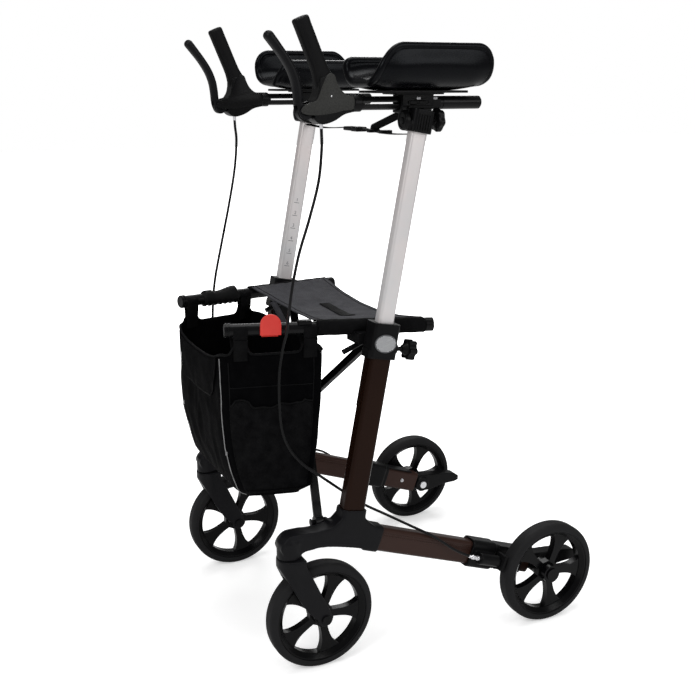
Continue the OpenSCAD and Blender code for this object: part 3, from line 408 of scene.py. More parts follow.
def finish(look):
    material = bpy.data.materials.new(look["name"])
    material.use_nodes = True
    tree = material.node_tree
    shader = tree.nodes["Principled BSDF"]
    for label, key, value in shaderInputs:
        shader.inputs[label].default_value = look.get(key, value)

    def effect(key, **values):
        node = tree.nodes.new("ShaderNodeGroup")
        node.node_tree = groups[key]
        for label, value in values.items():
            node.inputs[label].default_value = value
        return node.outputs

    grain = effect("grain", Size=look.get("grain", 1800.0), Blotch=look.get("blotch", 18.0))
    height, shade = grain["Height"], grain["Blotch"]
    if "weave" in look:
        warp, weft, threads = look["weave"]
        weave = effect("weave", Warp=warp, Weft=weft, Threads=threads)
        height, shade = weave["Height"], weave["Thread"]
    colour = mixColour(tree, shade, look["colour"], look["tint"])
    for key, tone in (("wear", look["tint"]), ("dust", dustColour)):
        if key in look:
            colour = mixColour(tree, effect(key, Amount=look[key])["Mask"], colour, tone)
    tree.links.new(colour, shader.inputs["Base Color"])
    tree.links.new(mapRange(tree, grain["Blotch"], 0.0, 1.0, *look["rough"]), shader.inputs["Roughness"])
    bump = tree.nodes.new("ShaderNodeBump")
    bump.inputs["Strength"].default_value = look.get("bump", 0.25)
    bump.inputs["Distance"].default_value = look.get("depth", 0.2) / 1000
    tree.links.new(height, bump.inputs["Height"])
    tree.links.new(bump.outputs["Normal"], shader.inputs["Normal"])
    return material


def shades(base, tint, cool=1):
    return {"colour": srgb(base, base, base + cool), "tint": srgb(tint, tint, tint + cool)}


# finishes: colours, roughness range, grain and blotch per metre, bump depth in mm
acrossSeat = ((1.0, 0.12, 0.0), (0.0, 1.0, 0.0), 620.0)
aroundBag = ((0.72, 0.72, 0.0), (0.0, 0.0, 1.0), 560.0)
pocketNet = ((0.7, 0.7, 0.7), (-0.7, -0.7, 0.7), 260.0)
alongStrap = ((1.0, 0.3, 0.3), (0.2, 1.0, 0.6), 900.0)
finishLooks = {
    "casting": dict(name="castingBlack", slot="black_plastic", **shades(14, 18, 2), rough=(0.36, 0.44),
        grain=1500, gloss=0.1, wear=0.15),
    "plastic": dict(name="mouldedBlack", slot="black_plastic", **shades(9, 13), rough=(0.32, 0.42),
        grain=1700, gloss=0.1, wear=0.2),
    "housing": dict(name="handleBlack", slot="black_plastic", colour=srgb(31, 31, 30),
        tint=srgb(52, 52, 50), rough=(0.48, 0.6), grain=1300, blotch=420.0, bump=0.45, gloss=0.18, wear=0.15),
    "brown": dict(name="brownPaint", slot="brown_paint", colour=srgb(46, 29, 24), tint=srgb(50, 32, 26),
        metal=0.2, rough=(0.32, 0.38), grain=3200, bump=0.1, coat=0.06, coatRough=0.2, gloss=0.15,
        blotch=5.0),
    # painted shade: the upright has the same brown paint as the beam, given here as a darker copy so that it
    # reads as shaded
    "upright": dict(name="uprightShadedBrownPaint", colour=srgb(29, 16, 11), tint=srgb(33, 19, 12), metal=0.4,
        rough=(0.24, 0.3), grain=3200, bump=0.08, coat=0.04, coatRough=0.14, gloss=0.06, blotch=5.0),
    "blackPaint": dict(name="blackPaint", **shades(9, 13), rough=(0.26, 0.34), gloss=0.13, grain=2600,
        bump=0.1, wear=0.2),
    "silver": dict(name="silverAnodised", colour=(0.62, 0.63, 0.64, 1), tint=(0.72, 0.66, 0.65, 1),
        metal=0.5, rough=(0.34, 0.42), grain=2800, bump=0.06, blotch=7.0),
    "steel": dict(name="brightSteel", slot="steel", colour=(0.66, 0.66, 0.68, 1),
        tint=(0.74, 0.74, 0.76, 1), metal=0.9, rough=(0.2, 0.34), bump=0.1),
    "tyre": dict(name="tyreRubber", **shades(22, 29), rough=(0.58, 0.72), gloss=0.12, grain=900, bump=0.35,
        dust=0.02),
    "rim": dict(name="rimPlastic", slot="black_plastic", **shades(6, 8), rough=(0.2, 0.28), gloss=0.11,
        grain=1600, wear=0.2),
    "reflector": dict(name="reflectorBack", colour=srgb(70, 71, 73), tint=srgb(78, 79, 81),
        rough=(0.3, 0.4)),
    "cells": dict(name="reflectorCells", slot="reflector", colour=srgb(190, 191, 193),
        tint=srgb(198, 199, 201), rough=(0.16, 0.26), coat=0.3),
    # painted reflection colour: the faint blue specular tint stands for the blue cast that the surroundings
    # give the pads' highlights
    "vinyl": dict(name="padVinyl", slot="pad_vinyl", **shades(5, 7, 2), rough=(0.25, 0.31), gloss=0.08,
        shine=(0.9, 0.95, 1.0, 1.0), grain=1100, bump=0.3, depth=0.25, blotch=40.0),
    "rubber": dict(name="gripRubber", slot="grip_rubber", **shades(10, 15), rough=(0.5, 0.64), gloss=0.1,
        grain=1000, bump=0.5),
    "cable": dict(name="cableJacket", **shades(9, 13), rough=(0.34, 0.44), gloss=0.15, grain=1400),
    "seat": dict(name="seatCloth", slot="seat_cloth", colour=srgb(47, 47, 50), tint=srgb(58, 58, 62),
        rough=(0.74, 0.86), gloss=0.05, sheen=0.04, weave=acrossSeat, bump=0.5, depth=0.4),
    "bag": dict(name="bagCloth", slot="bag_cloth", **shades(3, 6), rough=(0.74, 0.86), gloss=0.02,
        weave=aroundBag, bump=0.5, depth=0.4),
    "net": dict(name="pocketNet", slot="bag_cloth", **shades(4, 15), rough=(0.6, 0.75), gloss=0.04,
        weave=pocketNet, bump=0.8, depth=0.8),
    "bagBand": dict(name="bagBinding", slot="bag_cloth", **shades(9, 16), rough=(0.6, 0.75), gloss=0.05,
        weave=alongStrap, bump=0.5, depth=0.3),
    "piping": dict(name="greyPiping", slot="bag_cloth", colour=srgb(96, 96, 97), tint=srgb(140, 140, 140),
        rough=(0.35, 0.5), blotch=120.0),
    "webbing": dict(name="blackWebbing", slot="webbing", **shades(8, 14), rough=(0.62, 0.75), gloss=0.04,
        weave=alongStrap, bump=0.6, depth=0.3),
    "greyWeb": dict(name="greyWebbing", slot="webbing", colour=srgb(60, 60, 64), tint=srgb(84, 84, 89),
        rough=(0.6, 0.72), gloss=0.2, weave=alongStrap, bump=0.6, depth=0.3),
    "red": dict(name="redPlastic", colour=srgb(196, 40, 32), tint=srgb(206, 50, 40), rough=(0.38, 0.48),
        grain=1500, bump=0.15),
    "ink": dict(name="scaleInk", slot="black_paint", **shades(96, 120, 4), rough=(0.5, 0.6)),
}
finishes = {key: finish(look) for key, look in finishLooks.items()}
print("finishes made:", len(finishes))


# CAD nodes that stay: a welded, eased-edge skin with its own finish
finishNodes = {
    "plastic": "brake_housing upright_collar kerb_pedal front_axle height_knob arm_clamp clamp_knob pad_plate"
               " handle_housing",
    "casting": "front_casting caster_fork brake_lever", "rubber": "hand_grip brake_shoe carry_grip",
    "rim": "front_rim rear_rim", "tyre": "front_tyre rear_tyre", "blackPaint": "arm_rail cross_frame",
    "brown": "lower_beam", "upright": "lower_upright", "silver": "height_tube", "steel": "rear_axle",
    "reflector": "reflector", "vinyl": "arm_pad", "cable": "brake_cable", "webbing": "strap",
    "seat": "seat_sling", "bag": "shopping_bag", "red": "fold_clip"}
nodeFinish = {node: key for key, members in finishNodes.items() for node in members.split()}
easedEdge = {"rim": 0.0022, "tube": 0.0005, "other": 0.0009}


def finishOf(node):
    return finishes[nodeFinish.get(node) or nodeFinish[node.split("_", 1)[1]]]


def dressNode(node):
    piece = nodes[node]
    mesh = piece.data
    if "custom_normal" in mesh.attributes:
        mesh.attributes.remove(mesh.attributes["custom_normal"])
    mesh.shade_smooth()
    mesh.materials.clear()
    mesh.materials.append(finishOf(node))
    weld = piece.modifiers.new("weld", "WELD")
    weld.merge_threshold = 2e-5
    edge = piece.modifiers.new("edge", "BEVEL")
    edge.width = next(width for kind, width in easedEdge.items() if kind in node or kind == "other")
    edge.segments, edge.limit_method, edge.angle_limit = 2, "ANGLE", radians(40)
    level = piece.modifiers.new("level", "WEIGHTED_NORMAL")
    level.weight, level.keep_sharp = 60, False


for node in nodes:
    dressNode(node)
print("nodes dressed")


# moulded pieces: the CAD solid remeshed at a voxel size and eased in rounds, so that its joins flow
moulded = {"front_casting": (0.0019, 7), "caster_fork": (0.0017, 5), "handle_housing": (0.0011, 6),
           "arm_clamp": (0.0012, 3), "kerb_pedal": (0.0014, 4), "brake_housing": (0.0014, 3)}


def mouldedCopy(node, voxel, rounds):
    piece = addObject(node + "_moulded", nodes[node].data.copy())
    remesh = piece.modifiers.new("remesh", "REMESH")
    remesh.mode, remesh.voxel_size, remesh.use_smooth_shade = "VOXEL", voxel, True
    ease = piece.modifiers.new("ease", "SMOOTH")
    ease.factor, ease.iterations = 0.5, rounds
    made = bakedMesh(piece, finishOf(node))
    piece.modifiers.clear()
    piece.data = made
    made.shade_smooth()
    place(piece, bodyOf[node], node, slot=slotOf[node])


for kind, (voxel, rounds) in moulded.items():
    for _, name in bothSides:
        mouldedCopy(f"{name}_{kind}", voxel, rounds)
print("moulded pieces made")


# brake cables: the CAD route, parted where the height tube takes over
cableFoot = [(173, -281, 475), (174, -276, 430), (176, -262, 396), (179, -239, 367), (186, -212, 345),
             (192, -173, 313), (198, -134, 282), (206, -86.3, 253.1), (222, -48.8, 232), (245, -7.2, 209.1),
             (253, 30.2, 179.9)]
cableTop = Vector((armX, armRailFrontY - 17.5, armZ - 26))
cableEnd = onBeam(35, 0, 204.57)
cableHead = {
    1: [cableTop, cableTop - Vector((0, -1, 20)), cableTop - Vector((0, -1, 47)), (206, -219, 865),
        (210, -237, 808), (213, -258, 750), (211, -270, 695), (202, -273, 650), (186, -271, 612),
        (178, -276, 580), (174, -281, 535)],
    -1: [cableTop, cableTop - Vector((0, -1, 25)), cableTop - Vector((0, -3, 54)), (204, -217, 852),
         (202, -232, 782), (198, -250, 712), (191, -268, 645), (184, -277, 598), (177, -282, 540)]}
cableLook = dict(
    diameter=5, sides=14, part=0.745,
    spans=(("upper", "_arm", "_upper", 0.93, 0.76), ("lower", "_upper", "_frame", 0.735, 0.25)),
    boot=[(0, 0), (3.8, 0), (3.8, 5), (3, 8), (3, 13), (2.7, 14), (0, 14)],
    nut=[(0, 0), (4.8, 0), (4.8, 4), (3.6, 5), (3.6, 9), (4.4, 10), (4.4, 14), (3, 16), (3, 21), (2.6, 22),
        (0, 22)])


def makeCable(side, name, look):
    route = [*cableHead[side], *cableFoot, cableEnd - Vector((3, 20, -8)), cableEnd]
    path = [spot(side, p) for p in spline(route, 8)]
    cut = next(i for i, p in enumerate(path) if p.z < look["part"])
    for part, (label, first, second, start, end) in zip((path[:cut + 1], path[cut:]), look["spans"]):
        piece = tube(f"{name}_cable_{label}", part, look["diameter"] / 2, look["sides"], "cable")
        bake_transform(piece)
        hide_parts(name + "_brake_cable")
    down, back = along(path[:2], 0), along(path[:-3:-1], 0)
    boot = lathe(name + "_cable_boot", path[0] - down * 0.001, down, look["boot"], "steel", 20)
    nut = lathe(name + "_cable_nut", path[-1] + back * 0.0006, back, look["nut"], "steel", 12, 30)
    place(boot, name + "_arm")
    place(nut, name + "_frame")
    print(name, "cable", round(pathLength(path), 3), "m")


for side, name in bothSides:
    makeCable(side, name, cableLook)


# arm pads: moulded troughs with a rolled lip round a raised panel, turned end for end on the right
padLook = dict(
    length=222, width=126, outer=75, inner=52, thick=12, corner=34, lip=9.4, panel=4.2, groove=1.2,
    inside=24, foot=(armX, clampY - 101, 1007.9), innerFront=(18, 14), outerFront=54, innerRear=30,
    outerRear=(32, 20),
    edge=[0, 0.25, 0.9, 1.9, 3.2, 4.6, 6.2, 8.2, 9.4, 10.1, 10.7, 11.4, 12.4, 14.2, 17, 21])


def padPath(look):
    half, low, r = (look["width"] - look["thick"]) / 2, look["thick"] / 2, look["corner"]
    path = [Vector((-half, look["inner"]))]
    for x, first in ((r - half, 180), (half - r, 270)):
        path += [Vector((x, low + r)) + Vector(arcPoint(r, first + 3 * i)) for i in range(31)]
    return path + [Vector((half, look["outer"]))]


def edgeSteps(total, inside, near):
    span = total - 2 * near[-1]
    middle = [near[-1] + span * (i + 1) / inside for i in range(inside - 1)]
    return near + middle + [total - v for v in reversed(near)]


def cornerRound(z, h, top, low):
    r, past = (top, z - h + top) if z > h / 2 else (low, low - z)
    return r - sqrt(r * r - min(max(0.0, past), r - 0.3) ** 2)


def sweptBack(z, h, r):
    return r * (1 - sqrt(1 - min(1, max(0, z / h)) ** 2)) ** 0.85


def padEnds(q, look):
    w = min(1, max(0, 0.5 + q.x / look["width"]))
    inner, outer = look["inner"], look["outer"]
    front = (1 - w) * cornerRound(q.y, inner, *look["innerFront"])
    front += w * sweptBack(q.y, outer, look["outerFront"])
    rear = (1 - w) * sweptBack(q.y, inner, look["innerRear"])
    rear += w * cornerRound(q.y, outer, *look["outerRear"])
    return front, look["length"] - rear


def padSwell(d, w, look):
    outer = smoothstep(0.4, 0.75, w)
    r = look["thick"] / 2 * (1.5 - 0.5 * outer)
    t = r * sqrt(max(0.0, 1 - (1 - min(1, d / r)) ** 2))
    t -= look["groove"] * outer * exp(-((d - look["lip"]) / 1.0) ** 2)
    return t + look["panel"] * smoothstep(look["lip"] - 0.5, look["lip"] + 24, d)


def padColumns(look):
    path = padPath(look)
    runs = [0.0]
    for a, b in zip(path, path[1:]):
        runs.append(runs[-1] + (b - a).length)
    columns = []
    for want in edgeSteps(runs[-1], look["inside"] + 18, look["edge"]):
        i = max(k for k in range(len(runs) - 1) if runs[k] <= want + 1e-9)
        step = path[i + 1] - path[i]
        columns.append((path[i] + step * ((want - runs[i]) / step.length), want))
    return columns


def padFace(face, turned, look):
    columns, rows = padColumns(look), []
    line, total = [p for p, _ in columns], columns[-1][1]
    for share in edgeSteps(200, look["inside"], look["edge"]):
        row = []
        for k, (p, s) in enumerate(columns):
            h = along(line, k)
            front, rear = padEnds(p, look)
            y = front + (rear - front) * share / 200
            gaps = [max(1e-3, v) for v in (s, total - s, y - front, rear - y)]
            inset = sum(v ** -2 for v in gaps) ** -0.5
            swell = padSwell(inset, 0.5 + p.x / look["width"], look) if min(gaps) > 0.01 else 0.0
            q = p + Vector((h.y, -h.x)) * swell * face
            row.append(Vector((q.x, look["length"] - y if turned else y, q.y)))
        rows.append(row)
    return skin(rows, closed=False, caps=False)


def makePad(side, name, look):
    upper, faces = padFace(1, side < 0, look)
    points = upper + padFace(-1, side < 0, look)[0]
    low, high = min(q.z for q in points), max(q.z for q in points)
    fit = look["outer"] / (high - low)
    verts = [spot(side, Vector((q.x, q.y, (q.z - low) * fit)) + Vector(look["foot"])) for q in points]
    faces = faces + [tuple(len(upper) + v for v in f) for f in faces]
    piece = outward(addPiece(name + "_pad_cushion", verts, faces, "vinyl"), 2e-5)
    piece.data.shade_smooth()
    place(piece, name + "_upper", name + "_arm_pad")


for side, name in bothSides:
    makePad(side, name, padLook)
print("arm pads made")


# seat: a sling with black laps round both rails, hems, a pull strap and a stay
seatLook = dict(
    front=-204, rear=-20, sag=21, bow=30, thick=2.2, rows=46, half=46, lap=13.0, lapThick=1.4, lapWrap=46,
    keep=0.39, pull=((-55, -91, 0), (-20, -92.5, 0), (20, -95, 0), (76, -98, 0)),
    stay=((-100, -183, 602), (-100, -177, 594), (-100, -170, 581), (-100, -158, 556)))


def seatLine(depth, look):
    y = look["front"] + (look["rear"] - look["front"]) * depth
    r = railAt(y)
    start = Vector((r.x, r.z)) + Vector(arcPoint(look["lap"], 110))
    mid = sin(pi * depth)
    sag = look["sag"] * (1 + 0.15 * mid)
    line = []
    for i in range(look["half"] + 1):
        t = i / (look["half"] + 0.5)
        crease = 1.1 * sin(3 * pi * t) * mid
        crease += 1.0 * sin(8 * depth + 15 * t) * smoothstep(0.02, 0.25, t) * (0.3 + 0.7 * mid)
        x = start.x * (1 - t)
        out = y + look["bow"] * (1 - (x / r.x) ** 2) * (1 - depth)
        line.append(Vector((x, out, start.y - sag * (1 - (1 - t) ** 2) - crease)))
    return line


def seatRow(depth, look):
    half = seatLine(depth, look)
    return half + [Vector((-q.x, q.y, q.z)) for q in reversed(half)]


def makeSeatLap(side, name, look):
    rows = []
    for i in range(41):
        y = look["front"] - 4 + (look["rear"] - look["front"] + 4) * i / 40
        at, r = railAt(y), look["lap"] + 0.5 + 0.25 * sin(i * 1.1)
        arc = [arcPoint(r, a) for a in range(-70, 136, 6)]
        rows.append([spot(side, (at.x + x, y, at.z + z)) for x, z in arc])
    place(clothPiece(name + "_seat_lap", rows, look["lapThick"], "webbing"), name + "_seat_frame")


def makeSeat(look):
    rows = [[mm(q) for q in seatRow(depth, look)] for depth in steps(look["rows"])]
    cloth = clothPiece("seat_cloth", rows, look["thick"], "seat")
    parts = [place(cloth, "seat", "seat_sling")]
    for side, name in bothSides:
        makeSeatLap(side, name, look)
    for label, depth, inward in (("front", 0.0, 0.045), ("rear", 1.0, -0.045)):
        path = [mm(q + Vector((0, 0, 1.4))) for q in seatRow(depth + inward, look)]
        parts.append(place(tube("seat_stitch_" + label, path, 0.6, 6, "webbing"), "seat"))
        path = [mm(q) for q in seatRow(depth, look)]
        parts.append(place(tube("seat_hem_" + label, path, 1.7, 10, "seat"), "seat"))
    surface = [q for depth in steps(60) for q in seatRow(depth, look)]
    path = []
    for q in spline(look["pull"], 10):
        near = min(surface, key=lambda v: (v.x - q.x) ** 2 + (v.y - q.y) ** 2)
        path.append(mm((q.x, q.y, near.z + 2.4)))
    parts.append(place(band("seat_pull", path, (0.05, 1, 0), 21, 1.8, "webbing"), "seat"))
    path = [mm(p) for p in spline(look["stay"], 8)]
    parts.append(place(band("seat_stay", path, (0.5, 0.86, 0.3), 12, 1.6, "greyWeb"), "seat"))
    for p in parts:
        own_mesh(p)
    depth = (look["rear"] - look["front"]) / 1000


makeSeat(seatLook)


# bag: a sewn sack with a bound rim that rises into four straps, a flap and side pockets
bagLook = dict(
    front=-371, rear=-187, top=569.5, height=274, turn=224, levels=46, thick=2.4, dip=17, rise=14,
    frontTuck=34, rearTuck=26, footTuck=16, spare=6, bulge=5, strap=24, straps=(-338.0, -220.0), loop=12.4,
    keep=0.26, corner=0.737, tagAt=(0.34, 0.742), flapHalf=104, flapDraw=26, flapDeep=76,
    pocket=(-0.72, 0.62), pocketFoot=0.07, pocketHem=0.655, sideSeam=0.79)


def bagTop(x, y, half, frontness, look):
    top = look["top"] - look["dip"] * frontness * (1 - min(1, abs(x / half)) ** 2.5)
    for at in look["straps"]:
        off = max(0.0, abs(y - at) - look["strap"] / 2)
        top += look["rise"] * exp(-off / 3.0) * (1 - frontness) * smoothstep(0.9, 0.98, abs(x / half))
    return top


def bagPoint(t, a, look, out=0.0):
    under = look["footTuck"] * smoothstep(0.1, 0.0, t) ** 2
    front = look["front"] + look["frontTuck"] * pow(max(0.0, 0.65 - t) / 0.65, 2.4) + under
    rear = look["rear"] - look["rearTuck"] * (1 - t) ** 2 - under
    c, s = cos(a), sin(a)
    reach = (abs(c) ** 10 + abs(s) ** 10) ** -0.1
    c, s = c * reach, s * reach
    y = (front + rear) / 2 + (rear - front) / 2 * s
    half = railAt(y).x + look["spare"] + look["bulge"] * sin(pi * t) - under
    x = half * c
    frontness = smoothstep(0.96, 0.72, abs(c)) * smoothstep(0.85, 0.98, -s)
    top = bagTop(x, y, half, frontness, look)
    low = look["top"] - look["height"] + 7 * smoothstep(0.2, 1.0, abs(c) ** 6)
    z = low + (top - low) * t
    soft = noise.noise(Vector((x * 0.016, y * 0.016, z * 0.011))) * 5.0
    soft += noise.noise(Vector((x * 0.045 + 7, y * 0.045, z * 0.02))) * 2.4
    soft *= 0.3 + 0.7 * sin(pi * min(1, t * 1.05))
    way = Vector((copysign(abs(c) ** 9, c), 2 * copysign(abs(s) ** 9, s), 0)).normalized()
    return Vector((x, y, z)) + way * (out - abs(soft) - 0.6)


def bagLevel(t, a, look, out):
    want = look["top"] + (t - 1) * look["height"]
    for _ in range(4):
        t += (want - bagPoint(t, a, look).z) / look["height"]
    return bagPoint(t, a, look, out)


def sideAngle(side, v):
    return v if side > 0 else pi - v


def frontPoint(x, t, look, out):
    low, high = -pi / 2 - 0.78, -pi / 2 + 0.78
    for _ in range(24):
        mid = (low + high) / 2
        if bagPoint(t, mid, look).x < x:
            low = mid
        else:
            high = mid
    return bagPoint(t, low, look, out)


def bagSeam(name, points, radius, paint="bagBand", sides=8):
    return place(tube(name, [mm(p) for p in points], radius, sides, paint), "bag")


def makeSack(look):
    m = look["turn"]
    turns = [2 * pi * k / m for k in range(m)]
    levels = [0.0, 0.012, 0.03, 0.055] + [0.08 + 0.92 * v for v in steps(look["levels"])]
    rings = [[mm(bagPoint(t, a, look)) for a in turns] for t in levels]
    centre = sum(rings[0], Vector()) / m
    floor = [[centre.lerp(p, share) + Vector((0, 0, -0.004 * (1 - share ** 2))) for p in rings[0]]
             for share in (0.02, 0.3, 0.55, 0.8)]
    verts, faces = skin(floor + rings, caps=False)
    faces.append(tuple(reversed(range(m))))
    sack = layered(outward(addPiece("bag_sack", verts, faces, "bag")), look["thick"], -1.0)
    rim = [bagPoint(1.0, a, look) for a in turns + [0.0]]
    return [place(sack, "bag", "shopping_bag"), bagSeam("bag_rim_binding", rim, 2.4)]


def makePiping(look):
    parts = []
    for side, label in bothSides:
        turn = -pi / 2 + side * look["corner"]
        line = [bagPoint(0.02 + 0.955 * v, turn, look, 1.0) for v in steps(45)]
        parts.append(bagSeam("bag_piping_" + label, line, 0.9, "piping"))
    level, turn = look["tagAt"]
    tagAxes = ((0.8, 0.6, 0), (-0.6, 0.8, 0), (0, 0, 1))
    at = mm(bagPoint(level, -pi / 2 + turn, look, 1.6))
    return parts + [place(block("bag_tag", at, (4, 1.2, 7), tagAxes, 0.3, "piping"), "bag")]


def makeFlap(look):
    rows = []
    for share in steps(16):
        row = []
        for v in steps(48):
            u = 2 * v - 1
            deep = look["flapDeep"] * (1 - 0.1 * smoothstep(0.86, 1.0, abs(u))) * share
            wide = u * (look["flapHalf"] - look["flapDraw"] * share ** 2)
            out = 1.8 + 1.2 * sin(pi * share)
            row.append(frontPoint(wide, 1 - deep / look["height"], look, out))
        rows.append(row)
    edge = [r[0] for r in rows] + rows[-1][1:-1] + [r[-1] for r in reversed(rows)]
    flap = clothPiece("bag_flap", [[mm(p) for p in r] for r in rows], 1.8, "bag")
    return [place(flap, "bag"), bagSeam("bag_flap_binding", edge, 1.5, sides=6)]


def makePocket(side, label, look):
    first, last = look["pocket"]
    turns = [first + (last - first) * v for v in steps(44)]
    hems = [look["pocketHem"] + 0.012 * sin(7 * v) + 0.006 * sin(19 * v) for v in turns]
    rows = []
    for share in steps(22):
        row = []
        for v, hem in zip(turns, hems):
            out = 1.4 + 2.6 * sin(pi * share) * cos((v + 0.05) * 2.2)
            level = look["pocketFoot"] + (hem - look["pocketFoot"]) * share
            row.append(mm(bagPoint(level, sideAngle(side, v), look, out)))
        rows.append(row)
    hemLine = [bagPoint(hem, sideAngle(side, v), look, 1.8) for v, hem in zip(turns, hems)]
    seamLine = [bagLevel(look["sideSeam"], sideAngle(side, v), look, 0.4) for v in turns]
    parts = [place(clothPiece("bag_pocket_net_" + label, rows, 1.2, "net"), "bag"),
             bagSeam("bag_pocket_hem_" + label, hemLine, 1.7),
             bagSeam("bag_side_seam_" + label, seamLine, 0.9)]
    for n, v in enumerate((first, last + 0.002)):
        line = [bagPoint(0.05 + 0.9 * t, sideAngle(side, v), look, 0.5) for t in steps(40)]
        parts.append(bagSeam(f"bag_pocket_seam_{label}_{n}", line, 1.0))
    return parts


def makeBagStrap(side, label, n, look):
    at = railAt(look["straps"][n])
    sewn = look["top"] - at.z - 10

    def strap(name, points, body, slot):
        path = [spot(side, at + Vector((q.x, 0, q.y))) for q in spline([(*p, 0) for p in points], 2)]
        across = (0.2259 * side, 0.974, -0.02)
        piece = band(f"bag_{name}_{label}_{n}", path, across, look["strap"], 1.8, "webbing")
        return place(piece, body, slot=slot)

    # a loop that rides on the rail, sewn between two tails on the bag
    ring = [arcPoint(look["loop"], a) for a in range(-205, 26, 12)]
    loop = [(-10.2, -17.5), (-11.6, -8), *ring, (10.5, -9), (9, -19)]
    strap("loop", loop, label + "_seat_frame", "webbing")
    outer = [(11.2, -16), (9.9, -24), (8.3, sewn + 16), (7.5, sewn)]
    inner = [(1.1, sewn), (-3.9, sewn + 18), (-8.4, -25), (-10.4, -17.3)]
    return [strap("strap_outer", outer, "bag", "bag_cloth"), strap("strap_inner", inner, "bag", "bag_cloth")]


def makeBag(look):
    parts = makeSack(look) + makePiping(look) + makeFlap(look)
    for side, label in bothSides:
        parts += makePocket(side, label, look)
    for side, label in bothSides:
        for n in range(len(look["straps"])):
            parts += makeBagStrap(side, label, n, look)
    for p in parts:
        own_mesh(p)


makeBag(bagLook)
print("bag made")


# brake lever: a curved blade on two cheeks, closing round a nose on the housing
leverLook = dict(
    pivot=(armX, armRailFrontY - 47, armZ - 14), half=9.8, deep=6.9, tip=7.8, cheekX=8.6,
    blade=((-9.5, 12), (-11, 31), (-14, 48), (-21, 66), (-32, 84), (-45, 101), (-58, 117), (-62.6, 122.6)),
    link=((0, 0), (-6, 7), (-10, 14), (-11, 24)),
    cheek=[(0, -2), (10.8, -2), (10.8, 1.2), (9.8, 2.1), (4.6, 2.1), (4.2, 1.2), (0, 1.2)],
    nose=[(0, -6), (11.2, -6), (12.1, -5), (12.1, 5), (11.2, 6), (0, 6)])


def makeLever(side, name, look):
    pivot, across, body = Vector(look["pivot"]), Vector((1, 0, 0)), name + "_lever"

    def bar(label, points, n, x, sizes):
        path = [pivot + Vector((x, q.x, q.y)) for q in spline([(*p, 0) for p in points], n)]
        rings = []
        for i, q in enumerate(path):
            half, deep = sizes(i / (len(path) - 1), (path[-1] - q).length)
            oval = ovalRing(q, across, along(path, i).cross(across), half, deep)
            rings.append([spot(side, p) for p in oval])
        return loft(f"{name}_lever_{label}", rings, "casting")

    def bladeSize(u, d):
        deep = look["deep"] + (look["tip"] - look["deep"]) * smoothstep(0.6, 0.9, u)
        return (look["half"] + sin(pi * u)) * roundEnd(d, 8), deep * roundEnd(d, 8)

    def linkSize(u, _):
        return 1.9, 10.4 - 7.9 * smoothstep(0, 1, u)

    place(bar("blade", look["blade"], 7, 0, bladeSize), body, name + "_brake_lever")
    for n, face in enumerate((-1, 1)):
        x = face * look["cheekX"]
        place(bar(f"link_{n}", look["link"], 4, x, linkSize), body)
        at = spot(side, pivot + across * x)
        place(lathe(f"{name}_lever_cheek_{n}", at, (side * face, 0, 0), look["cheek"], "casting"), body)
    nose = lathe(name + "_lever_nose", spot(side, pivot), (side, 0, 0), look["nose"], "plastic")
    place(nose, name + "_arm")


# hand grip: a squared rubber sleeve that widens into the housing, with faint rings round it
handLook = dict(
    foot=Vector((armX, armRailFrontY - 12, armZ + 35)), lean=radians(23), long=104.0, half=13.0, deep=13.4,
    sides=64, groove=0.35, pitch=5.07,
    stops=[-12, -6, 0, 5, 10, 14, 18] + [22 + 76 * v for v in steps(30)]
    + [99.5, 101, 102.2, 103.2, 103.8, 104])


def makeHandGrip(side, name, look):
    way = Vector((0, -sin(look["lean"]), cos(look["lean"])))
    deepWay = Vector((0, cos(look["lean"]), sin(look["lean"])))
    rings = []
    for s in look["stops"]:
        centre, wide = look["foot"] + way * s, smoothstep(24, -12, s)
        end = 1 - 0.24 * (1 - roundEnd(look["long"] - s, 4.5))
        half, deep = (look["half"] + 1.2 * wide) * end, (look["deep"] + 5 * wide) * end
        ring = ovalRing(centre, (1, 0, 0), deepWay, half, deep, look["sides"], 0.74)
        groove = look["groove"] * smoothstep(24, 30, s) * smoothstep(98, 92, s)
        groove *= 0.5 + 0.5 * cos(s * 2 * pi / look["pitch"])
        rings.append([spot(side, p - (p - centre).normalized() * groove) for p in ring])
    place(loft(name + "_grip_sleeve", rings, "rubber", 60), name + "_arm", name + "_hand_grip")


# raised plates on both faces of the handle housing
plateLook = dict(
    low=13.4, high=16.2,
    outline=((-15, 41), (-8, 47), (0, 44), (4, 34), (11, 22), (22, 13.5), (34, 10.5), (34, -8), (16, -11),
        (-4, -15), (-24, -17.5), (-44, -17), (-55, -14), (-57, -8), (-51, -1.5), (-43, 1.5), (-35, 3.5),
        (-29, 9), (-24, 21), (-19, 33)))


def makeHandlePlate(side, name, face, look):
    corners = [(0, *q) for q in look["outline"]]
    line = spline(corners + corners[:1], 3)[:-1]
    centre = sum(line, Vector()) / len(line)
    high = look["high"]
    rings = []
    for x, pull in ((look["low"], 0.0), (high - 0.9, 0.0), (high - 0.2, 0.02), (high, 0.05)):
        at = Vector((armX + face * x, armRailFrontY, armZ))
        rings.append([spot(side, at + q.lerp(centre, pull)) for q in line])
    label, paint = ("outer", "housing") if face > 0 else ("inner", "plastic")
    place(loft(f"{name}_handle_plate_{label}", rings, paint, 40), name + "_arm")


for side, name in bothSides:
    makeLever(side, name, leverLook)
    makeHandGrip(side, name, handLook)
    makeHandlePlate(side, name, 1, plateLook)
    makeHandlePlate(side, name, -1, plateLook)
print("handles made")


